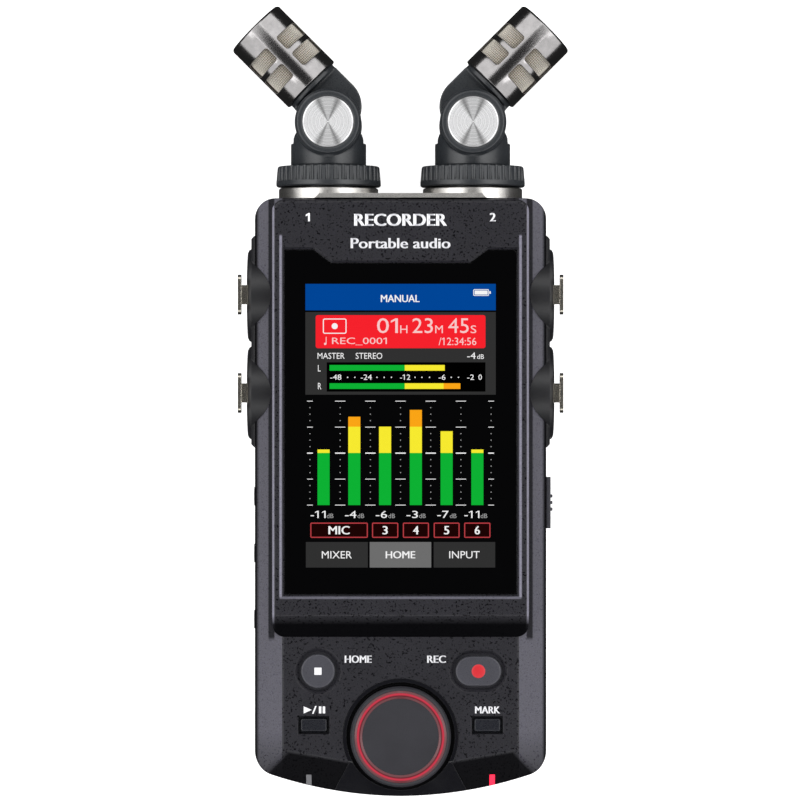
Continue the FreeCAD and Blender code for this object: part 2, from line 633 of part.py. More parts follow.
def make_right_side():
    usb = combine("Cut", "usb", [
        box("usb_case", ("31", "usb_y-4.5", "jack_z-1.65"), ("7.4", "9", "3.3")),
        box("usb_mouth", ("32.5", "usb_y-4.15", "jack_z-1.3"), ("8", "8.3", "2.6"))])
    tongue = box("usb_tongue", ("32.3", "usb_y-3.2", "jack_z-0.35"), ("5", "6.4", "0.7"))
    keep(combine("MultiFuse", "usb_whole", [usb, tongue]), "usb_socket")
    card = combine("Cut", "card", [
        box("card_case", ("24.6", "card_y-7", "jack_z-1.4"), ("11.7", "14", "2.4")),
        box("card_mouth", ("26", "card_y-5.6", "jack_z-0.5"), ("14", "11.2", "0.9"))])
    keep(card, "card_socket")
    slider = new_body("slider")
    pad(slider, oblong(new_sketch(slider), "0", "0", "slider_length", "slider_width"),
        "slider_face-case_width/2-0.15")
    edge_work(slider, "Fillet", "0.8", upright)
    for rib in (-1, 0, 1):
        ridge = new_sketch(slider, offset="slider_face-case_width/2-0.15")
        pad(slider, oblong(ridge, f"{rib}*1.75", "0", "0.8", "slider_width-0.6"), "0.5")
    stem = new_sketch(slider)
    pad(slider, oblong(stem, "0", "0", "3.6", "1.4"), "3.4", back=True)
    keep(place(slider, "case_width/2+0.15", "slider_y", "jack_z", SIDEWAYS["right"]), "power_slider")
    switch = combine("Cut", "switch", [
        box("switch_case", ("29.5", "slider_y-6.5", "jack_z-2"), ("6.4", "13", "4")),
        box("switch_track", ("33", "slider_y-5.3", "jack_z-0.9"), ("5", "10.6", "1.8"))])
    keep(switch, "power_switch")


# ------------------------------------------------------------------ inside
def make_inside():
    board = new_body("main_board")
    edge_y = "-14"
    points = [("-24", "-88"), ("24", "-88"), ("24", edge_y), ("20", edge_y), ("20", "48"), ("-20", "48"),
              ("-20", edge_y),
              ("-24", edge_y)]
    pad(board, polygon(new_sketch(board), points), "board_depth")
    pocket(board, oblong(new_sketch(board, offset="board_depth+1"), "0", "dial_y", "13", "13"),
           "board_depth+2")
    keep(place(board, "0", "0", "board_level"), "main_board")
    keys = new_body("key_board")
    pad(keys, oblong(new_sketch(keys), "0", "-78", "58", "24"), "board_depth")
    pocket(keys, circle(new_sketch(keys, offset="board_depth+1"), "0", "dial_y", "9"), "board_depth+2")
    keep(place(keys, "0", "0", "key_level-1.2"), "key_board")
    switches = [box(f"key_{name}", (f"{x}-2.6", f"{y}-1.6", "key_level-1.2+board_depth"),
                    ("5.2", "3.2", "1.5"))
                for name, (x, y, *_) in CONTROLS.items()]
    keep(group("keys", switches), "key_switches")

    tray = new_body("tray")
    length, middle = "(tray_top-tray_foot-2.2)", "(tray_top+tray_foot)/2"
    pad(tray, oblong(new_sketch(tray, offset="cover_depth+0.3"), "0", middle, "2*tray_half-2.2", length),
        "tray_level-cover_depth-0.3")
    hollow = new_sketch(tray, offset="tray_level-1")
    pocket(tray, oblong(hollow, "0", middle, "2*tray_half-4.2", f"{length}-2"), "20")
    keep(tray, "battery_tray")
    cells = []
    contacts = []
    for column in range(4):
        x = f"({column}-1.5)*cell_pitch"
        turned = 1 if column % 2 else -1
        cell = revolve(new_body(f"cell_{column}"), [
            ("0", "-cell_length/2"), ("cell_r-0.6", "-cell_length/2"), ("cell_r", "0.6-cell_length/2"),
            ("cell_r", "cell_length/2-0.8"), ("cell_r-0.8", "cell_length/2"), ("2.7", "cell_length/2"),
            ("2.7", "cell_length/2+1.3"), ("0", "cell_length/2+1.3")])
        spin = facing((0, turned, 0), (1, 0, 0))
        cells.append(place(cell, x, f"{middle}-0.6*{turned}", "cell_z", spin))
        for end in (-1, 1):
            wall_y = f"{middle}+{end}*({length}/2-1)"
            low = wall_y if end < 0 else f"{wall_y}-0.3"
            contacts.append(box(f"contact_{column}_{'low' if end < 0 else 'high'}",
                                (f"{x}-4", low, "cell_z-4"), ("8", "0.3", "8")))
            if end == -turned:
                springs = doc.addObject("Part::Cone", f"spring_{column}")
                bind(springs, Radius1="3.2", Radius2="2.2", Height="0.9")
                contacts.append(place(springs, x, f"{wall_y}-{end}*0.3", "cell_z",
                                      facing((0, -end, 0), (1, 0, 0))))
    keep(group("cells", cells), "battery_cells")
    keep(group("contacts", contacts), "battery_contacts")
    cover = new_body("cover")
    pad(cover, oblong(new_sketch(cover, offset="0.15"), "0", f"{middle}+0.4", "2*tray_half",
                      "tray_top-tray_foot-2"),
        "cover_depth-0.15")
    edge_work(cover, "Fillet", "1.2", upright)
    for rib in range(5):
        grip = new_sketch(cover, offset="0.15")
        pocket(cover, oblong(grip, "0", f"tray_foot+6+{rib}*1.6", "14", "0.7"), "0.5", upwards=True)
    keep(cover, "battery_cover")
    nut = combine("Cut", "nut", [
        rod("nut_flange", "nut_r", "nut_depth-2.2", "0", "tripod_y", "wall+0.02"),
        rod("nut_thread", "tripod_r", "20", "0", "tripod_y", "-1")])
    nose = combine("Cut", "nut_nose", [
        rod("nose_outer", "nut_r-1.05", "wall+0.02-0.1", "0", "tripod_y", "0.1"),
        rod("nose_inner", "tripod_r", "20", "0", "tripod_y", "-1")])
    keep(combine("MultiFuse", "nut_whole", [nut, nose]), "tripod_nut")
    speaker = revolve(new_body("speaker_unit"), [
        ("0", "1.2"), ("speaker_r-2.2", "0.4"), ("speaker_r-1.6", "0"), ("speaker_r", "0"),
        ("speaker_r", "2.6"),
        ("5", "2.8"), ("5", "5"), ("0", "5")])
    keep(place(speaker, "0", "speaker_y", "wall+0.02"), "speaker")
    screws = []
    for x, y in SCREWS:
        screw = revolve(new_body("case_screw"), [
            ("0", "0.9"), ("0.9", "0.3"), ("screw_r", "0.3"), ("screw_r", "1.55"), ("screw_shank", "1.55"),
            ("screw_shank", "12"), ("0", "12.6")])
        screws.append(place(screw, x, y))
    keep(group("screws", screws), "case_screws")


# ------------------------------------------------------------------ microphones
def make_top():
    """Metal plate between and in front of the two collars, with bevelled ends."""
    plate = new_body("plate")
    ends = [("-plate_half", "case_top"), ("plate_half", "case_top"),
            ("plate_half-plate_rise", "case_top+plate_rise"),
            ("plate_rise-plate_half", "case_top+plate_rise")]
    pad(plate, polygon(new_sketch(plate, offset="plate_back"), ends), "plate_front-plate_back")
    holes = [rod(f"plate_hole_{side}", "collar_r+0.05", "6", side_x(side, "mic_x"), "case_top-1", "mic_z",
                 UPWARDS)
             for side in SIDES]
    keep(combine("Cut", "top_plate_cut", [plate] + holes), "top_plate")


def make_microphone(side):
    """Lock ring, forked yoke, elbow arm and barrel of one microphone, leaning outwards at rest."""
    sign = SIDES[side]
    x = side_x(side, "mic_x")
    collar = revolve(new_body(f"collar_{side}"), [
        ("stem_r+0.05", "case_top+0.02"), ("collar_r", "case_top+0.02"), ("collar_r", "collar_top-0.3"),
        ("collar_r-0.3", "collar_top"), ("stem_r+0.05", "collar_top")])
    keep(place(collar, x, "0", "mic_z", UPWARDS), f"mic_collar_{side}")
    ring = revolve(new_body(f"lock_{side}"), [
        ("stem_r+running", "ring_low"), ("lock_r-0.3", "ring_low"), ("lock_r", "ring_low+0.3"),
        ("lock_r", "ring_low+1.3"), ("lock_r-0.35", "ring_high-0.3"), ("lock_r-0.65", "ring_high"),
        ("stem_r+running", "ring_high")])
    notch = circle(new_sketch(ring, offset="ring_low+1.5"), "lock_r+0.1", "0", "0.75")
    pocket(ring, notch, "ring_high-ring_low", upwards=True)
    repeat_round(ring, 40)
    keep(place(ring, x, "0", "mic_z", UPWARDS), f"lock_ring_{side}")

    stem = revolve(new_body(f"stem_{side}"), [
        ("0", "case_top+0.3"), ("stem_r", "case_top+0.3"), ("stem_r", "ring_high+0.2"),
        ("yoke_r", "ring_high+0.2"),
        ("yoke_r", "yoke_top"), ("0", "yoke_top")])
    edge_work(stem, "Fillet", "yoke_round", level("yoke_top"))
    place(stem, x, "0", "mic_z", UPWARDS)
    ears = new_body(f"ears_{side}")
    pad(ears, circle(new_sketch(ears, offset="-ear_face"), "0", "0", "ear_r"), "2*ear_face")
    pad(ears, circle(new_sketch(ears, offset="ear_face"), "0", "0", "cap_ring_r"), "cap_level-ear_face")
    place(ears, x, "pivot_y", "mic_z")
    fork = combine("MultiFuse", f"fork_{side}", [stem, ears])
    # the slot is round under the hub and opens upwards and sideways above the shoulders
    gap = box(f"gap_{side}", (f"{x}-12", "pivot_y-slot_drop", "mic_z-slot_half"), ("24", "30", "2*slot_half"))
    round_gap = rod(f"round_gap_{side}", "slot_r", "2*slot_half", x, "pivot_y", "mic_z-slot_half")
    bore = rod(f"bore_{side}", "pin_r+running", "30", x, "pivot_y", "mic_z-slot_half-4")
    seat = rod(f"seat_{side}", "disc_r+running", "4", x, "pivot_y", "mic_z+ear_face")
    keep(combine("Cut", f"yoke_{side}_cut", [fork, gap, round_gap, bore, seat]), f"yoke_{side}")

    tilt = math.radians(number("mic_tilt"))
    along = (sign * math.sin(tilt), math.cos(tilt), 0)
    turn = facing(along, (0, 0, 1))
    # across points up and inwards at rest; the barrel's axis passes beside the pivot on that side
    across = (-sign * math.cos(tilt), math.sin(tilt), 0)
    axis_x, axis_y = f"{x}+({across[0]:.6f})*barrel_offset", f"pivot_y+({across[1]:.6f})*barrel_offset"
    hub = combine("Cut", f"hub_{side}_cut", [
        rod(f"hub_{side}", "hub_r", "2*hub_half", x, "pivot_y", "mic_z-hub_half"),
        rod(f"hub_bore_{side}", "pin_r+0.02", "30", x, "pivot_y", "mic_z-15")])
    neck = revolve(new_body(f"neck_{side}"), [
        ("0", "ear_r+0.45"), ("neck_r", "ear_r+0.45"), ("neck_r", "barrel_base+0.3"),
        ("0", "barrel_base+0.3")])
    place(neck, axis_x, axis_y, "mic_z", turn)
    heel_x, heel_y = f"{axis_x}+({along[0]:.6f})*heel_shift", f"{axis_y}+({along[1]:.6f})*heel_shift"
    heel = rod(f"heel_{side}", "neck_r", "2*hub_half", heel_x, heel_y, "mic_z-hub_half")
    tongue = new_body(f"tongue_{side}")
    pad(tongue, oblong(new_sketch(tongue, offset="heel_shift"), "0", "0", "2*hub_half", "2*neck_r"),
        "ear_r+0.5-heel_shift")
    place(tongue, axis_x, axis_y, "mic_z", turn)
    solid_arm = combine("MultiFuse", f"arm_{side}_solid", [heel, tongue, neck])
    bored = combine("Cut", f"arm_{side}_bored", [
        solid_arm, rod(f"arm_bore_{side}", "pin_r+0.02", "30", x, "pivot_y", "mic_z-15")])
    keep(combine("MultiFuse", f"arm_{side}_whole", [hub, bored]), f"arm_{side}")
    pivot = revolve(new_body(f"pivot_{side}"), [
        ("0", "-slot_half-3.6"), ("pin_r", "-slot_half-3.6"), ("pin_r", "ear_face+0.1"),
        ("disc_r", "ear_face+0.1"),
        ("disc_r", "cap_level-0.15"), ("disc_r-0.4", "cap_level+0.15"), ("0", "cap_level+0.05")])
    keep(place(pivot, x, "pivot_y", "mic_z"), f"pivot_{side}")

    inner = "barrel_r-barrel_wall"
    barrel = revolve(new_body(f"barrel_{side}"), [
        ("0", "barrel_base+0.3"), ("barrel_r-0.3", "barrel_base+0.3"), ("barrel_r", "barrel_base+0.6"),
        ("barrel_r", "barrel_tip-0.7"), ("barrel_r-0.5", "barrel_tip-0.2"),
        ("barrel_r-1.6", "barrel_tip-0.2"),
        ("barrel_r-1.6", "barrel_tip-1.6"), (inner, "barrel_tip-1.6"), (inner, "barrel_base+2.6"),
        ("0", "barrel_base+2.6")])
    windows = new_sketch(barrel, "YZ_Plane", "barrel_r+2")
    for low, high in (("6.5", "10.9"), ("12.3", "17.0")):
        oblong(windows, "0", f"barrel_tip-({low}+{high})/2", "2*barrel_r*sin(33deg)", f"{high}-{low}")
    pocket(barrel, windows, "barrel_r")
    repeat_round(barrel, 4)
    eighth = FreeCAD.Rotation(V(0, 0, 1), 45)
    keep(place(barrel, axis_x, axis_y, "mic_z", turn.multiply(eighth)), f"barrel_{side}")
    mesh = revolve(new_body(f"mesh_{side}"), [
        (f"{inner}-0.35", "barrel_base+2.7"), (f"{inner}-0.05", "barrel_base+2.7"),
        (f"{inner}-0.05", "barrel_tip-1.7"),
        ("barrel_r-1.7", "barrel_tip-1.65"), ("4.2", "barrel_tip-0.35"), ("0", "barrel_tip"),
        ("0", "barrel_tip-0.35"),
        ("4.1", "barrel_tip-0.75"), (f"{inner}-0.35", "barrel_tip-2.1")])
    keep(place(mesh, axis_x, axis_y, "mic_z", turn), f"mesh_{side}")
    capsule = revolve(new_body(f"capsule_{side}"), [
        ("0", "barrel_base+2.62"), ("3.2", "barrel_base+2.62"), ("3.2", "barrel_tip-9"),
        ("6.2", "barrel_tip-9"),
        ("6.2", "barrel_tip-4.4"), ("5.4", "barrel_tip-3.8"), ("0", "barrel_tip-3.8")])
    keep(place(capsule, axis_x, axis_y, "mic_z", turn), f"capsule_{side}")


make_case()
make_display()
make_controls()
for side in SIDES:
    make_side(side)
make_sockets()
make_right_side()
make_inside()
make_top()
for side in SIDES:
    make_microphone(side)

doc.recompute()
for item in doc.Objects:
    if "Invalid" in item.State or "Error" in item.State:
        raise RuntimeError(f"{item.Name} ({item.Label}) failed: {item.State}")
for node in nodes:
    if node.Shape.isNull() or not node.Shape.isValid():
        raise RuntimeError(f"{node.Label} has no valid shape")
for node in nodes:
    node.Shape.exportStep(f"parts/{node.Label}.step")
    bounds = node.Shape.BoundBox
    print(f"{node.Label:20s} {len(node.Shape.Solids)} solid {node.Shape.Volume:9.1f} mm3 "
          f"x {bounds.XMin:.2f} {bounds.XMax:.2f} y {bounds.YMin:.2f} {bounds.YMax:.2f} "
          f"z {bounds.ZMin:.2f} {bounds.ZMax:.2f}")
print(len(nodes), "nodes")
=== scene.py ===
"""Looks of the portable field recorder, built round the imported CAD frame.

Metres; +Y to the microphones, +Z out."""
import json
import math
import bpy
import bmesh
from mathutils import Matrix, Vector


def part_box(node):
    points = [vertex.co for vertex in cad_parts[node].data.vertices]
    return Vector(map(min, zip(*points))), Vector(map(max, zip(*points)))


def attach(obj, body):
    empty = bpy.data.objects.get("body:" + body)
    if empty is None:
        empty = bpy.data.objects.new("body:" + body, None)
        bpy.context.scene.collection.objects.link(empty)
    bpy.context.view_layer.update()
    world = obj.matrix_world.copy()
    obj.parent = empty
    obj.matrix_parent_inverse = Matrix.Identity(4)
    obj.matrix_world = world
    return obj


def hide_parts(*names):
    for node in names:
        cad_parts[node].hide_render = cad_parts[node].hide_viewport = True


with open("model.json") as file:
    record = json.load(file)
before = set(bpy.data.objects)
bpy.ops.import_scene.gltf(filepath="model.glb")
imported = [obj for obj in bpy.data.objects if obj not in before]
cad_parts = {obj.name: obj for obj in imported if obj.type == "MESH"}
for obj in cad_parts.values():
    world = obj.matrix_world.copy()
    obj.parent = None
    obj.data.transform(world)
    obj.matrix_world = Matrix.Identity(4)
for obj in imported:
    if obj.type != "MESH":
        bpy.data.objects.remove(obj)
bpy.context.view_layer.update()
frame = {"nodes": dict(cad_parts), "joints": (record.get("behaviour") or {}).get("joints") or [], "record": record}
MM = 0.001
SIDES = {"left": -1, "right": 1}


# ------------------------------------------------------------------ node helpers
class Shader:
    """A material's node tree, with short calls for the nodes that the finishes share."""

    def __init__(self, name, colour, roughness, metallic=0.0, coat=0.0, specular=0.5):
        self.material = bpy.data.materials.new(name)
        self.material.use_nodes = True
        self.tree = self.material.node_tree
        self.surface = self.tree.nodes["Principled BSDF"]
        self.put("Base Color", (*colour, 1))
        self.put("Roughness", roughness)
        self.put("Metallic", metallic)
        self.put("Coat Weight", coat)
        self.put("Coat Roughness", 0.06)
        self.put("Specular IOR Level", specular)
        self.normal = None
        self.place = self.node("ShaderNodeTexCoord").outputs["Object"]

    def put(self, socket, value):
        self.surface.inputs[socket].default_value = value

    def node(self, kind, inputs=None, **settings):
        made = self.tree.nodes.new(kind)
        for key, value in settings.items():
            setattr(made, key, value)
        for key, value in (inputs or {}).items():
            if isinstance(value, bpy.types.NodeSocket):
                self.tree.links.new(value, made.inputs[key])
            else:
                made.inputs[key].default_value = value
        return made

    def stretched(self, scale):
        return self.node("ShaderNodeMapping", {"Vector": self.place, "Scale": scale}).outputs[0]

    def noise(self, size, detail=3.0, rough=0.6, vector=None):
        """Noise whose blobs are about size metres across."""
        inputs = {"Vector": vector or self.place, "Scale": 1 / size, "Detail": detail, "Roughness": rough}
        return self.node("ShaderNodeTexNoise", inputs).outputs["Fac"]

    def ramp(self, value, low, high, start=0.0, end=1.0):
        inputs = {"Value": value, "From Min": low, "From Max": high, "To Min": start, "To Max": end}
        return self.node("ShaderNodeMapRange", inputs).outputs[0]

    def mix(self, factor, first, second):
        made = self.node("ShaderNodeMix", data_type="RGBA")
        for index, value in ((0, factor), (6, first), (7, second)):
            if isinstance(value, bpy.types.NodeSocket):
                self.tree.links.new(value, made.inputs[index])
            else:
                made.inputs[index].default_value = value if index == 0 else (*value, 1)
        return made.outputs[2]

    def math(self, operation, first, second=0.0):
        return self.node("ShaderNodeMath", {0: first, 1: second}, operation=operation).outputs[0]

    def colour(self, socket):
        self.tree.links.new(socket, self.surface.inputs["Base Color"])

    def roughness(self, socket):
        self.tree.links.new(socket, self.surface.inputs["Roughness"])

    def glow(self, socket, strength):
        self.tree.links.new(socket, self.surface.inputs["Emission Color"])
        self.put("Emission Strength", strength)

    def spoke(self, middle):
        """Vector from the middle, an (x, y) point, to the place shaded, both in the plane of the face."""
        flat = self.node("ShaderNodeVectorMath", {0: self.place, 1: (1, 1, 0)}, operation="MULTIPLY")
        ends = {0: flat.outputs[0], 1: (*middle, 0)}
        return self.node("ShaderNodeVectorMath", ends, operation="SUBTRACT").outputs[0]

    def length(self, vector):
        return self.node("ShaderNodeVectorMath", {0: vector}, operation="LENGTH").outputs["Value"]

    def rounded(self, radius):
        """Softens the look of sharp edges."""
        self.normal = self.node("ShaderNodeBevel", {"Radius": radius}, samples=4).outputs[0]
        self.tree.links.new(self.normal, self.surface.inputs["Normal"])

    def bump(self, height, depth):
        inputs = {"Height": height, "Distance": depth}
        if self.normal:
            inputs["Normal"] = self.normal
        self.normal = self.node("ShaderNodeBump", inputs).outputs[0]
        self.tree.links.new(self.normal, self.surface.inputs["Normal"])


def scaled(colour, gain):
    return [c * gain for c in colour]


def moulded(name, colour, roughness, grain=0.25 * MM, depth=0.012 * MM, edge=0.15 * MM, coat=0.0,
            specular=0.3, paint=None):
    """Moulded plastic: fine grain, uneven gloss and faint variation; paint may change the colour further."""
    shader = Shader(name, colour, roughness, coat=coat, specular=specular)
    fine = shader.noise(grain, detail=4)
    broad = shader.noise(9 * MM, detail=2)
    tint = shader.mix(shader.ramp(broad, 0.3, 0.7), scaled(colour, 0.9), scaled(colour, 1.12))
    tint = shader.mix(shader.ramp(fine, 0.35, 0.65, 0.0, 0.35), tint, scaled(colour, 0.55))
    if paint:
        tint = paint(shader, tint, fine)
    shader.colour(tint)
    shader.roughness(shader.ramp(fine, 0.3, 0.7, roughness - 0.07, roughness + 0.09))
    shader.rounded(edge)
    shader.bump(fine, depth)
    return shader.material


def speckled(name, shade, painted_highlight_gains):
    """Case plastic with matt black pits and pale grains; shade gives its painted highlights and painted shade.

    The painted highlights vary between two multiples of the colour, given in the last argument."""
    colour, specular, black = (0.0165, 0.0160, 0.0200), 0.4, (0.0015, 0.0015, 0.002)
    pit_border, pit_softness = 0.4, 0.015

    def paint(shader, tint, fine):
        flecks = shader.noise(0.55 * MM, detail=2.5, rough=0.55)
        pits = shader.ramp(flecks, pit_border, pit_border - pit_softness)
        tint = shader.mix(pits, tint, black)
        grains = shader.noise(0.3 * MM, detail=2.0)
        tint = shader.mix(shader.ramp(grains, 0.55, 0.68, 0.0, 0.7), tint, scaled(colour, 2.6))
        # Painted light: pale where a painted highlight falls, black and matt where painted shade falls.
        pale, dark = shade(shader)
        low, high = [scaled(colour, gain) for gain in painted_highlight_gains]
        tint = shader.mix(pale, tint, shader.mix(shader.ramp(fine, 0.35, 0.65), low, high))
        tint = shader.mix(dark, tint, black)
        matt = shader.math("MAXIMUM", pits, shader.ramp(fine, 0.45, 0.6, 0.0, 0.7))
        matt = shader.math("MAXIMUM", dark, matt)
        level = shader.ramp(matt, 0.0, 1.0, specular, 0.02)
        shader.tree.links.new(level, shader.surface.inputs["Specular IOR Level"])
        return tint

    return moulded(name, colour, 0.33, grain=0.3 * MM, depth=0.035 * MM, edge=0.35 * MM, specular=specular,
                   paint=paint)


def band(shader, value, low, high, soft):
    """1 between two values and 0 outside them, with soft borders."""
    rise = shader.ramp(value, low - soft, low)
    return shader.math("MINIMUM", rise, shader.ramp(value, high + soft, high))


def shell_shade(shader):
    """Painted light on the front shell: painted highlight on the pale flanks; painted shade on the outer edges,
    chin and the valley beside the display island.
    """
    flank_in, flank_out, flank_foot = 31.25 * MM, 38.0 * MM, 23.8 * MM
    chin_slope, mitre_slope = math.tan(math.radians(9.8)), 1.06
    across, up, front = shader.node("ShaderNodeSeparateXYZ", {0: shader.place}).outputs
    out = shader.math("ABSOLUTE", across)
    flank = band(shader, out, flank_in, flank_out, 0.12 * MM)
    # Painted highlight on the flanks, fading out towards the chin.
    pale = shader.math("MULTIPLY", flank, shader.ramp(up, -98 * MM, -87 * MM, 0.1, 0.85))
    # Painted shade along the outer edges of the flanks.
    edge = shader.math("MULTIPLY", shader.ramp(out, flank_out - 0.7 * MM, flank_out, 0.0, 0.92),
                       shader.ramp(front, flank_foot, flank_foot + 0.7 * MM))
    # Painted shade on the chin.
    slanted = shader.math("SUBTRACT", up, shader.math("MULTIPLY", out, chin_slope))
    mitre = shader.math("ADD", up, shader.math("MULTIPLY", out, mitre_slope))
    chin = shader.math("MINIMUM", shader.ramp(slanted, -97.4 * MM, -98.2 * MM, 0.0, 0.9),
                       shader.ramp(mitre, -60.6 * MM, -62.0 * MM, 0.0, 0.9))
    # Painted shade in the valley between the flanks and the display island.
    valley = shader.math("MULTIPLY", band(shader, out, 33.4 * MM, 34.7 * MM, 0.35 * MM),
                         shader.ramp(up, -63.5 * MM, -62.5 * MM, 0.0, 0.85))
    dark = shader.math("MAXIMUM", shader.math("MAXIMUM", edge, chin), valley)
    return pale, dark


def island_shade(shader):
    """Painted highlights as pale lines along the island's long edges and round the glass; painted shade turns its
    foot black as it curves.
    """
    island_edge, glass_side, glass_foot, glass_top = 33.3 * MM, 31.25 * MM, -51.7 * MM, 43.0 * MM
    soft = 0.25 * MM
    across, up, _ = shader.node("ShaderNodeSeparateXYZ", {0: shader.place}).outputs
    out = shader.math("ABSOLUTE", across)
    # Painted highlights on the rounded edges of the island and the glass recess.
    rim = band(shader, out, island_edge, island_edge + 0.3 * MM, soft)
    inner = band(shader, out, glass_side, glass_side + 0.45 * MM, soft)
    beside = band(shader, up, glass_foot + 0.1 * MM, glass_top, 2 * soft)
    under = shader.math("MULTIPLY", band(shader, up, glass_foot - 0.4 * MM, glass_foot, soft), 0.5)
    below = shader.math("MULTIPLY", under, shader.ramp(out, 31.9 * MM, 31.5 * MM))
    lines = shader.math("MAXIMUM", rim, shader.math("MULTIPLY", inner, beside))
    # The first mask is the painted highlights, the second the painted shade on the foot.
    return shader.math("MAXIMUM", lines, below), shader.ramp(up, -56.6 * MM, -59.0 * MM, 0.0, 0.97)


def brushed(name, colour, roughness, streak, edge=0.12 * MM):
    """Worked metal: fine streaks along one direction and slight staining."""
    shader = Shader(name, colour, roughness, metallic=1.0)
    lines = shader.noise(0.1 * MM, detail=3, vector=shader.stretched(streak))
    stain = shader.noise(3 * MM, detail=3)
    shader.colour(shader.mix(shader.ramp(stain, 0.3, 0.7), scaled(colour, 0.88), scaled(colour, 1.08)))
    shader.roughness(shader.ramp(lines, 0.3, 0.7, roughness * 0.75, roughness * 1.3))
    shader.rounded(edge)
    shader.bump(lines, 0.004 * MM)
    return shader.material


def lit(name, colour, strength, body_colour=None):
    """Light-emitting surface with faint unevenness."""
    shader = Shader(name, body_colour or colour, 0.4)
    cloud = shader.noise(1.2 * MM, detail=1)
    shader.glow(shader.mix(shader.ramp(cloud, 0.3, 0.7), scaled(colour, 0.94), colour), strength)
    return shader.material


def glossy(name, colour, roughness):
    """Polished surface with faint smudges in its gloss."""
    shader = Shader(name, colour, roughness, coat=0.3)
    smudge = shader.noise(6 * MM, detail=3)
    shader.roughness(shader.ramp(smudge, 0.35, 0.75, roughness, roughness + 0.07))
    shader.rounded(0.15 * MM)
    return shader.material


def round_face(node):
    """Middle (x, y) and radius of a round node, seen from the front."""
    low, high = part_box(node)
    return ((low.x + high.x) / 2, (low.y + high.y) / 2), (high.x - low.x) / 2


def spun_metal(name, node):
    """Turned face: fine rings round the middle of the disc, and a painted reflection of the lamps, pale to the
    sides and broken by four dark bands near the upright.
    """
    rings_per_metre, reflection_spoke_cosine = 9000, 0.42
    middle, _ = round_face(node)
    shader = Shader(name, (0.78, 0.78, 0.79), 0.24, metallic=0.55)
    spoke = shader.spoke(middle)
    ring_place = shader.math("MULTIPLY", shader.length(spoke), rings_per_metre)
    rings = shader.node("ShaderNodeTexNoise", {"W": ring_place, "Scale": 1.0, "Detail": 2.0},
                        noise_dimensions="1D").outputs["Fac"]
    parts = shader.node("ShaderNodeSeparateXYZ", {0: spoke}).outputs
    # Painted reflection: the colour is bright left and right, a little darker up and down, with dark bands about
    # 25 degrees either side of the upright.
    angle = shader.math("ARCTAN2", parts[1], parts[0])
    steep = shader.math("ABSOLUTE", shader.math("COSINE", angle))
    dark_reflection_spokes = shader.ramp(shader.math("ABSOLUTE", shader.math("SUBTRACT", steep, reflection_spoke_cosine)), 0.0, 0.2)
    ends = shader.ramp(steep, 0.4, 0.7, 0.72, 1.0)
    glint = shader.math("MULTIPLY", shader.ramp(dark_reflection_spokes, 0.0, 1.0, 0.35, 1.0), ends)
    glint = shader.math("MULTIPLY", glint, shader.ramp(rings, 0.3, 0.7, 0.92, 1.0))
    shader.colour(shader.mix(glint, (0.05, 0.05, 0.05), (0.97, 0.97, 0.98)))
    shader.roughness(shader.ramp(rings, 0.3, 0.7, 0.2, 0.36))
    shader.bump(rings, 0.003 * MM)
    return shader.material


def glowing_ring(name, node):
    """Red light ring: a bright line along the middle of its width and a darker red on both sides."""
    line_inset = 0.9 * MM
    middle, radius = round_face(node)
    shader = Shader(name, (0.06, 0.003, 0.006), 0.3, coat=0.2)
    reach = shader.length(shader.spoke(middle))
    off = shader.math("ABSOLUTE", shader.math("SUBTRACT", reach, radius - line_inset))
    core = shader.ramp(off, 0.12 * MM, 0.42 * MM, 1.0, 0.0)
    shader.glow(shader.mix(core, (0.05, 0.004, 0.008), (0.56, 0.03, 0.06)), 0.9)
    return shader.material


# ------------------------------------------------------------------ mesh helpers
def piece(name, mesh_data, body, material, smooth=None):
    """Add a mesh piece that rides on a CAD body."""
    obj = bpy.data.objects.new(name, mesh_data)
    bpy.context.scene.collection.objects.link(obj)
    obj.data.materials.clear()
    obj.data.materials.append(material)
    if smooth is not None:
        for polygon in obj.data.polygons:
            polygon.use_smooth = True
        bpy.context.view_layer.objects.active = obj
        obj.select_set(True)
        bpy.ops.object.shade_smooth_by_angle(angle=math.radians(smooth))
        obj.select_set(False)
        for modifier in list(obj.modifiers):
            bpy.ops.object.modifier_apply(modifier=modifier.name)
    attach(obj, body)
    return obj


def mesh_from(bm, name):
    data = bpy.data.meshes.new(name)
    bmesh.ops.recalc_face_normals(bm, faces=bm.faces)
    bm.to_mesh(data)
    bm.free()
    return data


def prism(bm, points, low, high):
    """Closed plate between two heights from an outline of (x, y) points."""
    base = [bm.verts.new((x, y, low)) for x, y in points]
    top = [bm.verts.new((x, y, high)) for x, y in points]
    count = len(points)
    bm.faces.new(base[::-1])
    bm.faces.new(top)
    for i in range(count):
        bm.faces.new((base[i], base[(i + 1) % count], top[(i + 1) % count], top[i]))


def rounded_rectangle(x0, y0, x1, y1, radius=0.0, steps=4):
    """Outline of a rectangle with rounded corners."""
    if radius <= 0:
        return [(x0, y0), (x1, y0), (x1, y1), (x0, y1)]
    points = []
    corners = ((x1 - radius, y0 + radius, -90), (x1 - radius, y1 - radius, 0),
               (x0 + radius, y1 - radius, 90), (x0 + radius, y0 + radius, 180))
    for cx, cy, start in corners:
        for step in range(steps + 1):
            angle = math.radians(start + 90 * step / steps)
            points.append((cx + radius * math.cos(angle), cy + radius * math.sin(angle)))
    return points


def disc(x, y, radius, steps=32):
    return [(x + radius * math.cos(2 * math.pi * i / steps), y + radius * math.sin(2 * math.pi * i / steps))
            for i in range(steps)]


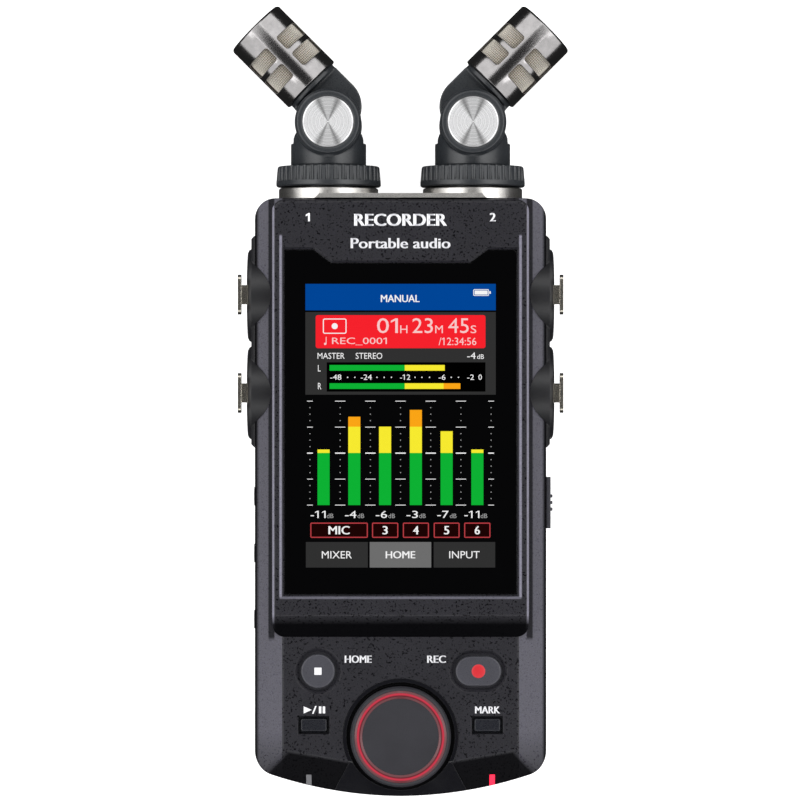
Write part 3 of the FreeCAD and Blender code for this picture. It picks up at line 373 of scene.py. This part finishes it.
def add_flags(made):
    """The plain font draws 1 as a bare upright bar; this gives each such bar in a number its flag."""
    left = set(made.verts)
    while left:
        group, fresh = set(), [left.pop()]
        while fresh:
            vertex = fresh.pop()
            group.add(vertex)
            around = (edge.other_vert(vertex) for edge in vertex.link_edges)
            fresh += [other for other in around if other not in group and other not in fresh]
        left -= group
        xs, ys = {round(v.co.x, 4) for v in group}, {round(v.co.y, 4) for v in group}
        wide, high = max(xs) - min(xs), max(ys) - min(ys)
        if len(group) == 4 and len(xs) == 2 and len(ys) == 2 and high > 3 * wide and high > 0.4:
            x, y = min(xs), max(ys)
            tip = x - 0.24 * high
            corners = ((x, y), (tip, y - 0.17 * high), (tip, y - 0.3 * high), (x, y - 0.15 * high))
            made.faces.new([made.verts.new((a, b, 0)) for a, b in corners])


class Inlay:
    """Flat printed or lit shapes at one height, collected per colour into one thin piece each."""

    def __init__(self, prefix, level, thickness, body, slot):
        self.prefix, self.level, self.thickness, self.body, self.slot = prefix, level, thickness, body, slot
        self.layers = {}

    def layer(self, colour):
        return self.layers.setdefault(colour, bmesh.new())

    def shape(self, colour, points, lift=0):
        base = self.level + lift * self.thickness
        prism(self.layer(colour), points, base, base + self.thickness)

    def box(self, colour, x0, y0, x1, y1, radius=0.0, lift=0):
        points = rounded_rectangle(min(x0, x1), min(y0, y1), max(x0, x1), max(y0, y1), radius)
        self.shape(colour, points, lift)

    def outline(self, colour, x0, y0, x1, y1, radius, width, lift=0):
        """Rectangular line frame."""
        x0, x1, y0, y1 = min(x0, x1), max(x0, x1), min(y0, y1), max(y0, y1)
        outer = rounded_rectangle(x0, y0, x1, y1, radius)
        inner_radius = max(radius - width, 0.02 * MM)
        inner = rounded_rectangle(x0 + width, y0 + width, x1 - width, y1 - width, inner_radius)
        bm = self.layer(colour)
        base = self.level + lift * self.thickness
        rings = []
        for points, height in ((outer, base), (outer, base + self.thickness), (inner, base + self.thickness),
                               (inner, base)):
            rings.append([bm.verts.new((x, y, height)) for x, y in points])
        count = len(outer)
        for k in range(4):
            a, b = rings[k], rings[(k + 1) % 4]
            for i in range(count):
                bm.faces.new((a[i], a[(i + 1) % count], b[(i + 1) % count], b[i]))

    def text(self, colour, words, x0, y0, x1, y1, lift=0, bold=0.0):
        """Words stretched to fill a box; bold lays a second copy beside the first to thicken the strokes."""
        curve = bpy.data.curves.new("words", "FONT")
        curve.body = words
        curve.size = 1.0
        curve.resolution_u = 3
        carrier = bpy.data.objects.new("words", curve)
        bpy.context.scene.collection.objects.link(carrier)
        bpy.context.view_layer.update()
        flat = bpy.data.meshes.new_from_object(carrier.evaluated_get(bpy.context.evaluated_depsgraph_get()))
        bpy.data.objects.remove(carrier)
        made = bmesh.new()
        made.from_mesh(flat)
        bpy.data.meshes.remove(flat)
        bmesh.ops.remove_doubles(made, verts=made.verts, dist=1e-5)
        if any(letter.isdigit() for letter in words):
            add_flags(made)
        xs = [v.co.x for v in made.verts]
        ys = [v.co.y for v in made.verts]
        sx, sy = (x1 - x0 - bold) / (max(xs) - min(xs)), (y1 - y0) / (max(ys) - min(ys))
        left, low = min(xs), min(ys)
        base = self.level + lift * self.thickness
        for v in made.verts:
            v.co = Vector((x0 + (v.co.x - left) * sx, y0 + (v.co.y - low) * sy, base))
        grown = bmesh.ops.extrude_face_region(made, geom=list(made.faces))
        for v in [g for g in grown["geom"] if isinstance(g, bmesh.types.BMVert)]:
            v.co.z += self.thickness
        holder = bpy.data.meshes.new("words")
        made.to_mesh(holder)
        made.free()
        self.layer(colour).from_mesh(holder)
        if bold:
            holder.transform(Matrix.Translation((bold, 0, 0)))
            self.layer(colour).from_mesh(holder)
        bpy.data.meshes.remove(holder)

    def finish(self, materials):
        for colour, bm in self.layers.items():
            piece(f"{self.prefix}_{colour}", mesh_from(bm, f"{self.prefix}_{colour}"), self.body,
                  materials[colour])


# ------------------------------------------------------------------ materials of the CAD nodes
# The number pairs are the colour gains of the painted highlights.
SPECKLED = {"front_shell": speckled("speckled plastic front_shell", shell_shade, (3.6, 7.4)),
            "display_bezel": speckled("speckled plastic display_bezel", island_shade, (9.0, 15.0))}
CASE = moulded("case plastic", (0.018, 0.018, 0.021), 0.5, edge=0.3 * MM)
SIDE = moulded("side plastic", (0.011, 0.011, 0.013), 0.34, edge=0.35 * MM, specular=0.5)
BUTTON = moulded("button plastic", (0.056, 0.056, 0.068), 0.3, grain=0.2 * MM, edge=0.45 * MM, specular=0.5)
DARK_BUTTON = moulded("dark button plastic", (0.008, 0.009, 0.014), 0.28, grain=0.2 * MM, edge=0.3 * MM,
                      specular=0.5)
DIAL = moulded("dial plastic", (0.027, 0.0265, 0.032), 0.38, grain=0.22 * MM, depth=0.03 * MM, edge=0.25 * MM)
RING = moulded("ring plastic", (0.023, 0.026, 0.03), 0.3, grain=0.2 * MM, depth=0.004 * MM, edge=0.2 * MM,
               specular=0.6)
NYLON = moulded("jack nylon", (0.01, 0.01, 0.011), 0.5)
GLOSS = glossy("gloss trim", (0.006, 0.006, 0.008), 0.1)
GLASS = glossy("cover glass", (0.0004, 0.0004, 0.0006), 0.03)
GREY_LIGHT = glossy("grey indicator", (0.16, 0.16, 0.17), 0.2)
RED_LIGHT = lit("red indicator", (0.9, 0.012, 0.05), 0.9)
NICKEL = brushed("nickel", (0.72, 0.68, 0.6), 0.2, (1, 6, 1))
STEEL = brushed("plated steel", (0.55, 0.55, 0.56), 0.3, (1, 8, 1))
COLLAR = brushed("collar metal", (0.74, 0.72, 0.69), 0.3, (1, 20, 1))
BARREL = brushed("barrel metal", (0.34, 0.33, 0.33), 0.17, (6, 6, 1))
BRASS = brushed("brass", (0.78, 0.6, 0.3), 0.25, (1, 1, 8))
LINER = moulded("mesh liner", (0.23, 0.205, 0.175), 0.6, grain=0.3 * MM)
WEAVE = brushed("woven wire", (0.8, 0.76, 0.68), 0.3, (3, 3, 3), edge=0.02 * MM)
CAPSULE = brushed("capsule metal", (0.35, 0.34, 0.33), 0.35, (4, 4, 1))
BOARD = moulded("circuit board", (0.02, 0.1, 0.05), 0.4)
SLEEVE = moulded("cell sleeve", (0.12, 0.12, 0.13), 0.3, coat=0.5)

DARK_BUTTONS = ("play_button", "mark_button")
SLOT_FINISH = {
    "case_plastic": CASE, "cover_plastic": CASE, "side_plastic": SIDE,
    "gloss_trim": GLOSS, "grey_indicator": GREY_LIGHT, "red_indicator": RED_LIGHT, "cover_glass": GLASS,
    "lcd_frame": GLOSS, "button_plastic": BUTTON, "dial_plastic": DIAL, "steel": STEEL, "jack_plastic": NYLON,
    "circuit_board": BOARD, "cell_wrap": SLEEVE, "nickel": NICKEL, "brass": BRASS, "collar_metal": COLLAR,
    "ring_plastic": RING, "barrel_metal": BARREL, "mesh_metal": LINER, "capsule_metal": CAPSULE,
}


def dress_cad_nodes():
    slots = {row["node"]: row["material_slot"] for row in frame["record"]["subparts"]}
    for name, obj in frame["nodes"].items():
        if name.startswith("pivot_"):
            finish = spun_metal(f"spun face {name}", name)
        elif name == "dial_ring":
            finish = glowing_ring("ring light", name)
        elif name in SPECKLED:
            finish = SPECKLED[name]
        elif name in DARK_BUTTONS:
            finish = DARK_BUTTON
        else:
            finish = SLOT_FINISH[slots[name]]
        obj.data.materials.clear()
        obj.data.materials.append(finish)


# ------------------------------------------------------------------ screen
SCREEN_WIDTH, SCREEN_TOP = 50.0 * MM, 30.5 * MM


def screen_picture():
    """Recording page: header, transport panel with a stereo meter, six level bars, channels and tabs.

    The layout's numbers are millimetres to the right of and below the display's top left corner."""
    glass_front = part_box("cover_glass")[1].z
    sunk, thickness = 0.005 * MM, 0.012 * MM
    ui = Inlay("screen", glass_front - sunk, thickness, "case", "lcd_frame")

    def x(value):
        return -SCREEN_WIDTH / 2 + value * MM

    def y(value):
        return SCREEN_TOP - value * MM

    def box(colour, x0, y0, x1, y1, radius=0.0, lift=0):
        ui.box(colour, x(x0), y(y0), x(x1), y(y1), radius * MM, lift)

    def words(colour, text, x0, y0, x1, y1, lift=2, bold=0.0):
        ui.text(colour, text, x(x0), y(y1), x(x1), y(y0), lift, bold * MM)

    box("blue", 0, 0, 50, 6.95)
    words("white", "MANUAL", 19.8, 2.9, 30.0, 4.8, bold=0.1)
    ui.outline("white", x(44.1), y(3.15), x(48.2), y(1.4), 0.3 * MM, 0.18 * MM, 2)
    box("white", 44.45, 1.75, 47.85, 2.8, 0, 2)
    box("white", 48.3, 1.95, 48.7, 2.6, 0, 2)
    box("panel", 0, 7.4, 50, 29.1)
    box("red", 2.7, 8.2, 47.3, 16.9, 0.6, 1)
    ui.outline("white", x(4.6), y(13.1), x(10.8), y(9.1), 0.5 * MM, 0.25 * MM, 2)
    ui.shape("white", disc(x(7.7), y(11.1), 0.8 * MM, 20), 2)
    clock = (("01", 18.8, 24.3, 9.0), ("H", 24.9, 26.8, 10.9), ("23", 28.1, 33.5, 9.0),
             ("M", 34.1, 36.1, 10.9), ("45", 37.5, 42.9, 9.0), ("S", 43.4, 44.9, 10.9))
    for text, start, end, high in clock:
        words("clock", text, start, high, end, 12.95)
    words("clock", "REC_0001", 7.0, 14.1, 21.4, 16.1)
    box("clock", 5.35, 13.9, 5.55, 15.8, 0, 2)
    ui.shape("clock", disc(x(5.2), y(15.75), 0.33 * MM, 12), 2)
    words("clock", "/12:34:56", 35.0, 14.1, 44.9, 16.1)
    words("white", "MASTER", 3.2, 18.1, 10.3, 19.7)
    words("white", "STEREO", 13.2, 18.1, 20.2, 19.7)
    words("white", "-4", 42.5, 18.0, 44.7, 19.7)
    words("white", "dB", 45.1, 18.5, 46.9, 19.7)
    box("black", 5.6, 20.6, 47.3, 28.3, 0, 1)
    words("white", "L", 3.3, 21.3, 4.0, 23.0)
    words("white", "R", 3.3, 26.0, 4.2, 27.7)
    box("green", 6.34, 21.3, 26.1, 22.8, 0, 2)
    box("yellow", 26.1, 21.3, 36.6, 22.8, 0, 2)
    box("green", 6.34, 26.1, 26.1, 27.6, 0, 2)
    box("yellow", 26.1, 26.1, 36.3, 27.6, 0, 2)
    box("orange", 36.3, 26.1, 40.7, 27.6, 0, 2)
    for text, centre, width in (("-48", 8.0, 2.9), ("-24", 16.0, 2.9), ("-12", 26.2, 2.7), ("-6", 35.9, 1.8),
                                ("-2", 43.4, 1.8), ("0", 45.9, 0.9)):
        words("white", text, centre - width / 2, 23.8, centre + width / 2, 25.2)
    for centre in (11.1, 13.0, 18.8, 20.7, 22.6, 28.8, 30.6, 32.6, 38.3, 40.2):
        ui.shape("white", disc(x(centre), y(24.55), 0.17 * MM, 10), 2)

    scale_top, floor_y, yellow_y, orange_y = 30.8, 58.1, 44.4, 37.5
    first_bar, bar_pitch, bar_width = 4.77, 8.08, 3.17
    bars = ((43.5, "-11"), (34.9, "-4"), (37.5, "-6"), (33.1, "-3"), (38.7, "-7"), (43.5, "-11"))
    for index, (peak, value) in enumerate(bars):
        centre = first_bar + index * bar_pitch
        low, high = centre - bar_width / 2, centre + bar_width / 2
        box("green", low, max(peak, yellow_y), high, floor_y)
        if peak < yellow_y:
            box("yellow", low, max(peak, orange_y), high, yellow_y)
        if peak < orange_y:
            box("orange", low, peak, high, orange_y)
        digits = 0.95 * len(value)
        words("white", value, centre - 0.55 - digits, 59.6, centre + 0.55, 61.5)
        words("dim", "dB", centre + 0.85, 60.35, centre + 2.6, 61.5)
    first_scale, scale_pitch, scales, marks = 1.2, 7.93, 7, 16
    for column in range(scales):
        centre = first_scale + column * scale_pitch
        reach = 0.75 if column in (0, scales - 1) else 1.35
        for row in range(marks + 1):
            height = scale_top + row * (floor_y - scale_top) / marks
            if row % 4 == 0:
                thick = 0.3 if row == marks / 2 else 0.17
                box("white", centre - reach, height - thick / 2, centre + reach, height + thick / 2)
            else:
                ui.shape("dim", disc(x(centre), y(height), 0.15 * MM, 8))
    for text, start, end, width in (("MIC", 1.3, 16.4, 5.6), ("3", 17.5, 24.4, 1.4), ("4", 25.6, 32.45, 1.5),
                                    ("5", 33.7, 40.5, 1.4), ("6", 41.7, 48.6, 1.4)):
        ui.outline("rose", x(start), y(66.7), x(end), y(62.7), 0.35 * MM, 0.28 * MM, 1)
        box("maroon", start + 0.3, 63.0, end - 0.3, 66.4, 0.1)
        middle = (start + end) / 2
        words("white", text, middle - width / 2, 63.6, middle + width / 2, 65.8, 2, 0.14)
    tabs = (("MIXER", 0.13, 16.4, "panel", 7.9), ("HOME", 16.9, 33.05, "tab", 7.8),
            ("INPUT", 33.7, 49.85, "panel", 8.0))
    for text, start, end, shade, width in tabs:
        box(shade, start, 67.8, end, 74.5)
        middle = (start + end) / 2
        bold = 0.12 if shade == "tab" else 0.0
        words("white", text, middle - width / 2, 70.2, middle + width / 2, 72.1, bold=bold)
    glow = {"blue": (0.0, 0.062, 0.32), "panel": (0.031, 0.031, 0.031), "tab": (0.16, 0.16, 0.16),
            "black": (0.0, 0.0, 0.0), "red": (0.96, 0.016, 0.026), "white": (0.95, 0.95, 0.95),
            "clock": (0.98, 0.62, 0.62), "dim": (0.36, 0.36, 0.36), "green": (0.004, 0.46, 0.035),
            "yellow": (0.97, 0.86, 0.03), "orange": (1.0, 0.39, 0.008), "rose": (0.5, 0.05, 0.06),
            "maroon": (0.012, 0.001, 0.001)}
    ui.finish({name: screen_light(f"screen {name}", colour) for name, colour in glow.items()})


def screen_light(name, colour):
    """One colour of the display: its picture elements show as a very fine grid of brightness."""
    element, gap = 0.156 * MM, 0.01 * MM
    shader = Shader(name, scaled(colour, 0.01), 0.12, specular=0.1)
    grid = shader.node("ShaderNodeTexBrick", {
        "Vector": shader.place, "Scale": 1.0, "Brick Width": element, "Row Height": element,
        "Mortar Size": gap, "Color1": (*colour, 1), "Color2": (*scaled(colour, 0.96), 1),
        "Mortar": (*scaled(colour, 0.8), 1)}, offset=0.0).outputs["Color"]
    shader.glow(grid, 1.0)
    return shader.material


# ------------------------------------------------------------------ printing on the case
def printed_marks():
    """White legends on the island, the panel and the stop button."""
    island_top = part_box("display_bezel")[1].z
    panel_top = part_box("front_shell")[1].z
    sunk = 0.01 * MM
    ink = {"white": printed("white print", (0.72, 0.72, 0.74))}
    upper = Inlay("legend_upper", island_top - sunk, 0.018 * MM, "case", "speckled_plastic")
    one = [(-24.3, 46.9), (-23.8, 46.9), (-23.8, 49.1), (-24.15, 49.1), (-24.9, 48.65), (-24.9, 48.2),
           (-24.3, 48.5)]
    upper.shape("white", [(a * MM, b * MM) for a, b in one])
    for text, x0, y0, x1, y1, bold in (("2", 23.4, 46.9, 25.0, 49.1, 0.25),
                                         ("RECORDER", -12.2, 45.7, 12.2, 48.9, 0.36),
                                         ("Portable audio", -13.1, 39.8, 13.1, 42.5, 0.2)):
        upper.text("white", text, x0 * MM, y0 * MM, x1 * MM, y1 * MM, 0, bold * MM)
    upper.finish(ink)
    lower = Inlay("legend_panel", panel_top - sunk, 0.02 * MM, "case", "speckled_plastic")
    for text, x0, y0, x1, y1 in (("HOME", -14.7, -69.2, -7.6, -67.25), ("REC", 7.0, -69.2, 11.95, -67.25),
                                 ("MARK", 19.6, -82.5, 26.2, -80.65)):
        lower.text("white", text, x0 * MM, y0 * MM, x1 * MM, y1 * MM, 0, 0.16 * MM)
    base, rise = -82.5, 1.85
    play = [(-25.5, base), (-23.4, base + rise / 2), (-25.5, base + rise)]
    slash = [(-23.3, base - 0.1), (-22.9, base - 0.1), (-22.1, base + rise + 0.1), (-22.5, base + rise + 0.1)]
    for outline in (play, slash):
        lower.shape("white", [(a * MM, b * MM) for a, b in outline])
    for start in (-21.5, -20.5):
        lower.box("white", start * MM, base * MM, (start + 0.65) * MM, (base + rise) * MM)
    lower.finish(ink)
    low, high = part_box("stop_button")
    square = Inlay("stop_mark", high.z - sunk, 0.03 * MM, "stop_button", "button_plastic")
    cx, cy, half = (low.x + high.x) / 2, (low.y + high.y) / 2, 0.95 * MM
    square.box("white", cx - half, cy - half, cx + half, cy + half, 0.1 * MM)
    square.finish(ink)


def printed(name, colour):
    """Pad-printed ink with slight unevenness, and a faint glow that is painted light brightening it."""
    shader = Shader(name, colour, 0.5)
    cloud = shader.noise(0.3 * MM, detail=3)
    shader.colour(shader.mix(shader.ramp(cloud, 0.35, 0.65), scaled(colour, 0.9), colour))
    # Painted light: the ink glows faintly.
    shader.put("Emission Color", (*colour, 1))
    shader.put("Emission Strength", 0.3)
    return shader.material


def record_lamp():
    """Red lens in the record button."""
    low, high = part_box("record_button")
    bm = bmesh.new()
    radius, rise, sunk, steps, count = 1.85 * MM, 0.22 * MM, 0.05 * MM, 6, 40
    centre = Vector(((low.x + high.x) / 2, (low.y + high.y) / 2, high.z - sunk))
    rings = []
    for step in range(steps):
        angle = math.pi / 2 * step / steps
        r, z = radius * math.cos(angle), rise * math.sin(angle)
        rings.append([bm.verts.new(centre + Vector((r * math.cos(t), r * math.sin(t), z)))
                      for t in (2 * math.pi * i / count for i in range(count))])
    tip = bm.verts.new(centre + Vector((0, 0, rise)))
    for a, b in zip(rings, rings[1:]):
        for i in range(count):
            bm.faces.new((a[i], a[(i + 1) % count], b[(i + 1) % count], b[i]))
    for i in range(count):
        bm.faces.new((rings[-1][i], rings[-1][(i + 1) % count], tip))
    bm.faces.new(rings[0][::-1])
    piece("record_lamp", mesh_from(bm, "record_lamp"), "record_button",
          lit("record lamp", (0.62, 0.012, 0.02), 0.55, (0.3, 0.005, 0.01)), smooth=40)


# ------------------------------------------------------------------ microphones
TILT = math.radians(45)
BARREL_RADIUS, BARREL_INNER = 8.6 * MM, 7.7 * MM
BARREL_BASE, BARREL_TIP = 10.55 * MM, 31.85 * MM
BARREL_OFFSET = 4.17 * MM
WINDOW_ROWS = ((6.3 * MM, 10.7 * MM), (12.1 * MM, 16.8 * MM))


def microphone_frame(side):
    """Matrix that takes local Z to the barrel's axis and the origin to the axis beside the pivot."""
    joint = [j for j in frame["joints"] if j["name"] == f"microphone_{side}_tilt"][0]
    sign = SIDES[side]
    along = Vector((sign * math.sin(TILT), math.cos(TILT), 0))
    across = Vector((-sign * math.cos(TILT), math.sin(TILT), 0))
    front = Vector((0, 0, 1))
    origin = Vector(joint["pos_m"]) + across * BARREL_OFFSET
    turn = Matrix((front, along.cross(front), along)).transposed().to_4x4()
    return Matrix.Translation(origin) @ turn


def turned_mesh(profile, steps=96):
    """Closed solid of revolution round Z from (radius, height) points; radius 0 ends on the axis."""
    bm = bmesh.new()
    rings = []
    for radius, height in profile:
        if radius <= 0:
            rings.append([bm.verts.new((0, 0, height))])
        else:
            rings.append([bm.verts.new((radius * math.cos(t), radius * math.sin(t), height))
                          for t in (2 * math.pi * i / steps for i in range(steps))])
    for a, b in zip(rings, rings[1:] + rings[:1]):
        for i in range(steps):
            j = (i + 1) % steps
            corners = [a[i % len(a)], a[j % len(a)], b[j % len(b)], b[i % len(b)]]
            unique = list(dict.fromkeys(corners))
            if len(unique) >= 3:
                bm.faces.new(unique)
    return bm


def apply_modifiers(obj):
    bpy.context.view_layer.objects.active = obj
    for modifier in list(obj.modifiers):
        bpy.ops.object.modifier_apply(modifier=modifier.name)


def make_barrel(side):
    """Metal barrel with two rows of four rounded windows and softly broken edges."""
    r, chamfer, lip, lip_depth, floor = BARREL_RADIUS, 0.25 * MM, 1.6 * MM, 1.4 * MM, 2.3 * MM
    body = turned_mesh([
        (0, BARREL_BASE), (r - chamfer, BARREL_BASE), (r, BARREL_BASE + chamfer), (r, BARREL_TIP - 0.5 * MM),
        (r - 0.45 * MM, BARREL_TIP), (r - lip, BARREL_TIP), (r - lip, BARREL_TIP - lip_depth),
        (BARREL_INNER, BARREL_TIP - lip_depth), (BARREL_INNER, BARREL_BASE + floor),
        (0, BARREL_BASE + floor)])
    obj = bpy.data.objects.new("barrel_blank", mesh_from(body, "barrel_blank"))
    bpy.context.scene.collection.objects.link(obj)
    cutters = bmesh.new()
    half_window = math.radians(33)
    half = r * math.sin(half_window)
    for low, high in WINDOW_ROWS:
        for quarter in range(4):
            outline = rounded_rectangle(-half, BARREL_TIP - high, half, BARREL_TIP - low, 0.8 * MM, 5)
            turn = Matrix.Rotation(math.radians(45 + 90 * quarter), 3, "Z")
            inner = [cutters.verts.new(turn @ Vector((4 * MM, a, b))) for a, b in outline]
            outer = [cutters.verts.new(turn @ Vector((r + 2 * MM, a, b))) for a, b in outline]
            cutters.faces.new(inner[::-1])
            cutters.faces.new(outer)
            for i in range(len(outline)):
                j = (i + 1) % len(outline)
                cutters.faces.new((inner[i], inner[j], outer[j], outer[i]))
    tool = bpy.data.objects.new("cutters", mesh_from(cutters, "cutters"))
    bpy.context.scene.collection.objects.link(tool)
    cut = obj.modifiers.new("windows", "BOOLEAN")
    cut.object, cut.operation, cut.solver = tool, "DIFFERENCE", "EXACT"
    edge = obj.modifiers.new("edges", "BEVEL")
    edge.width, edge.segments = 0.14 * MM, 2
    edge.limit_method, edge.angle_limit = "ANGLE", math.radians(35)
    apply_modifiers(obj)
    bpy.data.objects.remove(tool)
    data = obj.data
    bpy.data.objects.remove(obj)
    data.transform(microphone_frame(side))
    made = piece(f"barrel_shell_{side}", data, f"microphone_{side}", BARREL, smooth=32)
    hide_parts(f"barrel_{side}")


def make_weave(side):
    """Woven wire screen: wires round the barrel that dip over and under each other, and a domed end."""
    wires, pitch, thick = 88, 0.54 * MM, 0.2 * MM
    radius, dip = BARREL_INNER + 0.07 * MM, 0.07 * MM
    low, high = BARREL_BASE + 3.2 * MM, BARREL_TIP - 1.0 * MM
    rows = int((high - low) / pitch)
    bm = bmesh.new()
    grid = []
    for row in range(rows + 1):
        height = low + (high - low) * row / rows
        ring = []
        for k in range(wires):
            t = 2 * math.pi * k / wires
            reach = radius + dip * (1 if (row + k) % 2 else -1)
            ring.append(bm.verts.new((reach * math.cos(t), reach * math.sin(t), height)))
        grid.append(ring)
    for a, b in zip(grid, grid[1:]):
        for k in range(wires):
            n = (k + 1) % wires
            bm.faces.new((a[k], a[n], b[n], b[k]))
    end_radius, end_base, end_rise = 6.9 * MM, BARREL_TIP - 0.55 * MM, 0.85 * MM
    cells = int(2 * end_radius / pitch)
    patch = {}
    for i in range(cells + 1):
        for j in range(cells + 1):
            px, py = (-end_radius + 2 * end_radius * k / cells for k in (i, j))
            away = math.hypot(px, py)
            if away <= end_radius:
                dome = end_base + end_rise * (1 - (away / end_radius) ** 2)
                patch[i, j] = bm.verts.new((px, py, dome + 0.5 * dip * (1 if (i + j) % 2 else -1)))
    for (i, j), corner in patch.items():
        others = [patch.get(key) for key in ((i + 1, j), (i + 1, j + 1), (i, j + 1))]
        if all(others):
            bm.faces.new((corner, *others))
    obj = bpy.data.objects.new("weave_blank", mesh_from(bm, "weave_blank"))
    bpy.context.scene.collection.objects.link(obj)
    wire = obj.modifiers.new("wires", "WIREFRAME")
    wire.thickness, wire.use_replace = thick, True
    wire.use_even_offset, wire.use_boundary = False, True
    apply_modifiers(obj)
    data = obj.data
    bpy.data.objects.remove(obj)
    data.transform(microphone_frame(side))
    piece(f"wire_screen_{side}", data, f"microphone_{side}", WEAVE, smooth=60)


def soften(node, body, material):
    """Stand-in for a CAD node with rounded edges: remeshed finely, smoothed, and thinned if heavy."""
    voxel, rounds, most_faces = 0.22 * MM, 6, 30000
    source = frame["nodes"][node]
    obj = bpy.data.objects.new(f"{node}_blank", source.data.copy())
    bpy.context.scene.collection.objects.link(obj)
    remesh = obj.modifiers.new("remesh", "REMESH")
    remesh.mode, remesh.voxel_size, remesh.adaptivity = "VOXEL", voxel, 0.0
    smooth = obj.modifiers.new("smooth", "SMOOTH")
    smooth.factor, smooth.iterations = 0.5, rounds
    apply_modifiers(obj)
    count = len(obj.data.polygons)
    if count > most_faces:
        thin = obj.modifiers.new("thin", "DECIMATE")
        thin.ratio = most_faces / count
        apply_modifiers(obj)
    data = obj.data
    bpy.data.objects.remove(obj)
    made = piece(f"{node}_soft", data, body, material, smooth=70)
    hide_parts(node)


# ------------------------------------------------------------------ studio
def area_light(name, place, target, size, power):
    data = bpy.data.lights.new(name, "AREA")
    data.energy, data.size = power, size
    obj = bpy.data.objects.new(name, data)
    bpy.context.scene.collection.objects.link(obj)
    obj.location = place
    obj.rotation_euler = (Vector(target) - Vector(place)).to_track_quat("-Z", "Y").to_euler()


def studio():
    """Pale floor, four square soft panels round the object and a camera straight above the display."""
    bm = bmesh.new()
    size, clearance = 6.0, 0.2 * MM
    for corner in ((-size, -size), (size, -size), (size, size), (-size, size)):
        bm.verts.new((*corner, -clearance))
    bm.faces.new(bm.verts)
    floor = bpy.data.objects.new("floor", mesh_from(bm, "floor"))
    bpy.context.scene.collection.objects.link(floor)
    shader = Shader("floor", (0.7, 0.7, 0.7), 0.8, specular=0.1)
    shader.put("Emission Color", (1, 1, 1, 1))
    shader.put("Emission Strength", 0.85)
    floor.data.materials.append(shader.material)
    floor.visible_glossy = False

    world = bpy.data.worlds.new("studio")
    bpy.context.scene.world = world
    world.use_nodes = True
    world.node_tree.nodes["Background"].inputs["Color"].default_value = (1, 1, 1, 1)
    world.node_tree.nodes["Background"].inputs["Strength"].default_value = 0.03
    slant, reach, panel_size = math.radians(50), 1.0, 1.25
    near_power, far_power = 7.0, 8.2
    for name, azimuth, power in (("near_right", -38, near_power), ("far_right", 38, far_power),
                                 ("far_left", 142, far_power), ("near_left", 218, near_power)):
        turn = math.radians(azimuth)
        away = math.sin(slant) * reach
        place = (away * math.cos(turn), away * math.sin(turn), math.cos(slant) * reach)
        area_light(name, place, (0, 0, 0.02), panel_size, power)

    bpy.context.scene.view_settings.view_transform = "Standard"
    field, distance, sensor = 0.2128, 1.2, 36.0
    camera = bpy.data.objects.new("camera", bpy.data.cameras.new("camera"))
    bpy.context.scene.collection.objects.link(camera)
    camera.location = (-0.15 * MM, 0, distance + 0.0175)
    camera.data.sensor_width = sensor
    camera.data.lens = sensor * distance / field
    bpy.context.scene.camera = camera


studio()
dress_cad_nodes()
screen_picture()
printed_marks()
record_lamp()
for side in SIDES:
    make_barrel(side)
    make_weave(side)
    soften(f"arm_{side}", f"microphone_{side}", RING)
    soften(f"yoke_{side}", "case", RING)
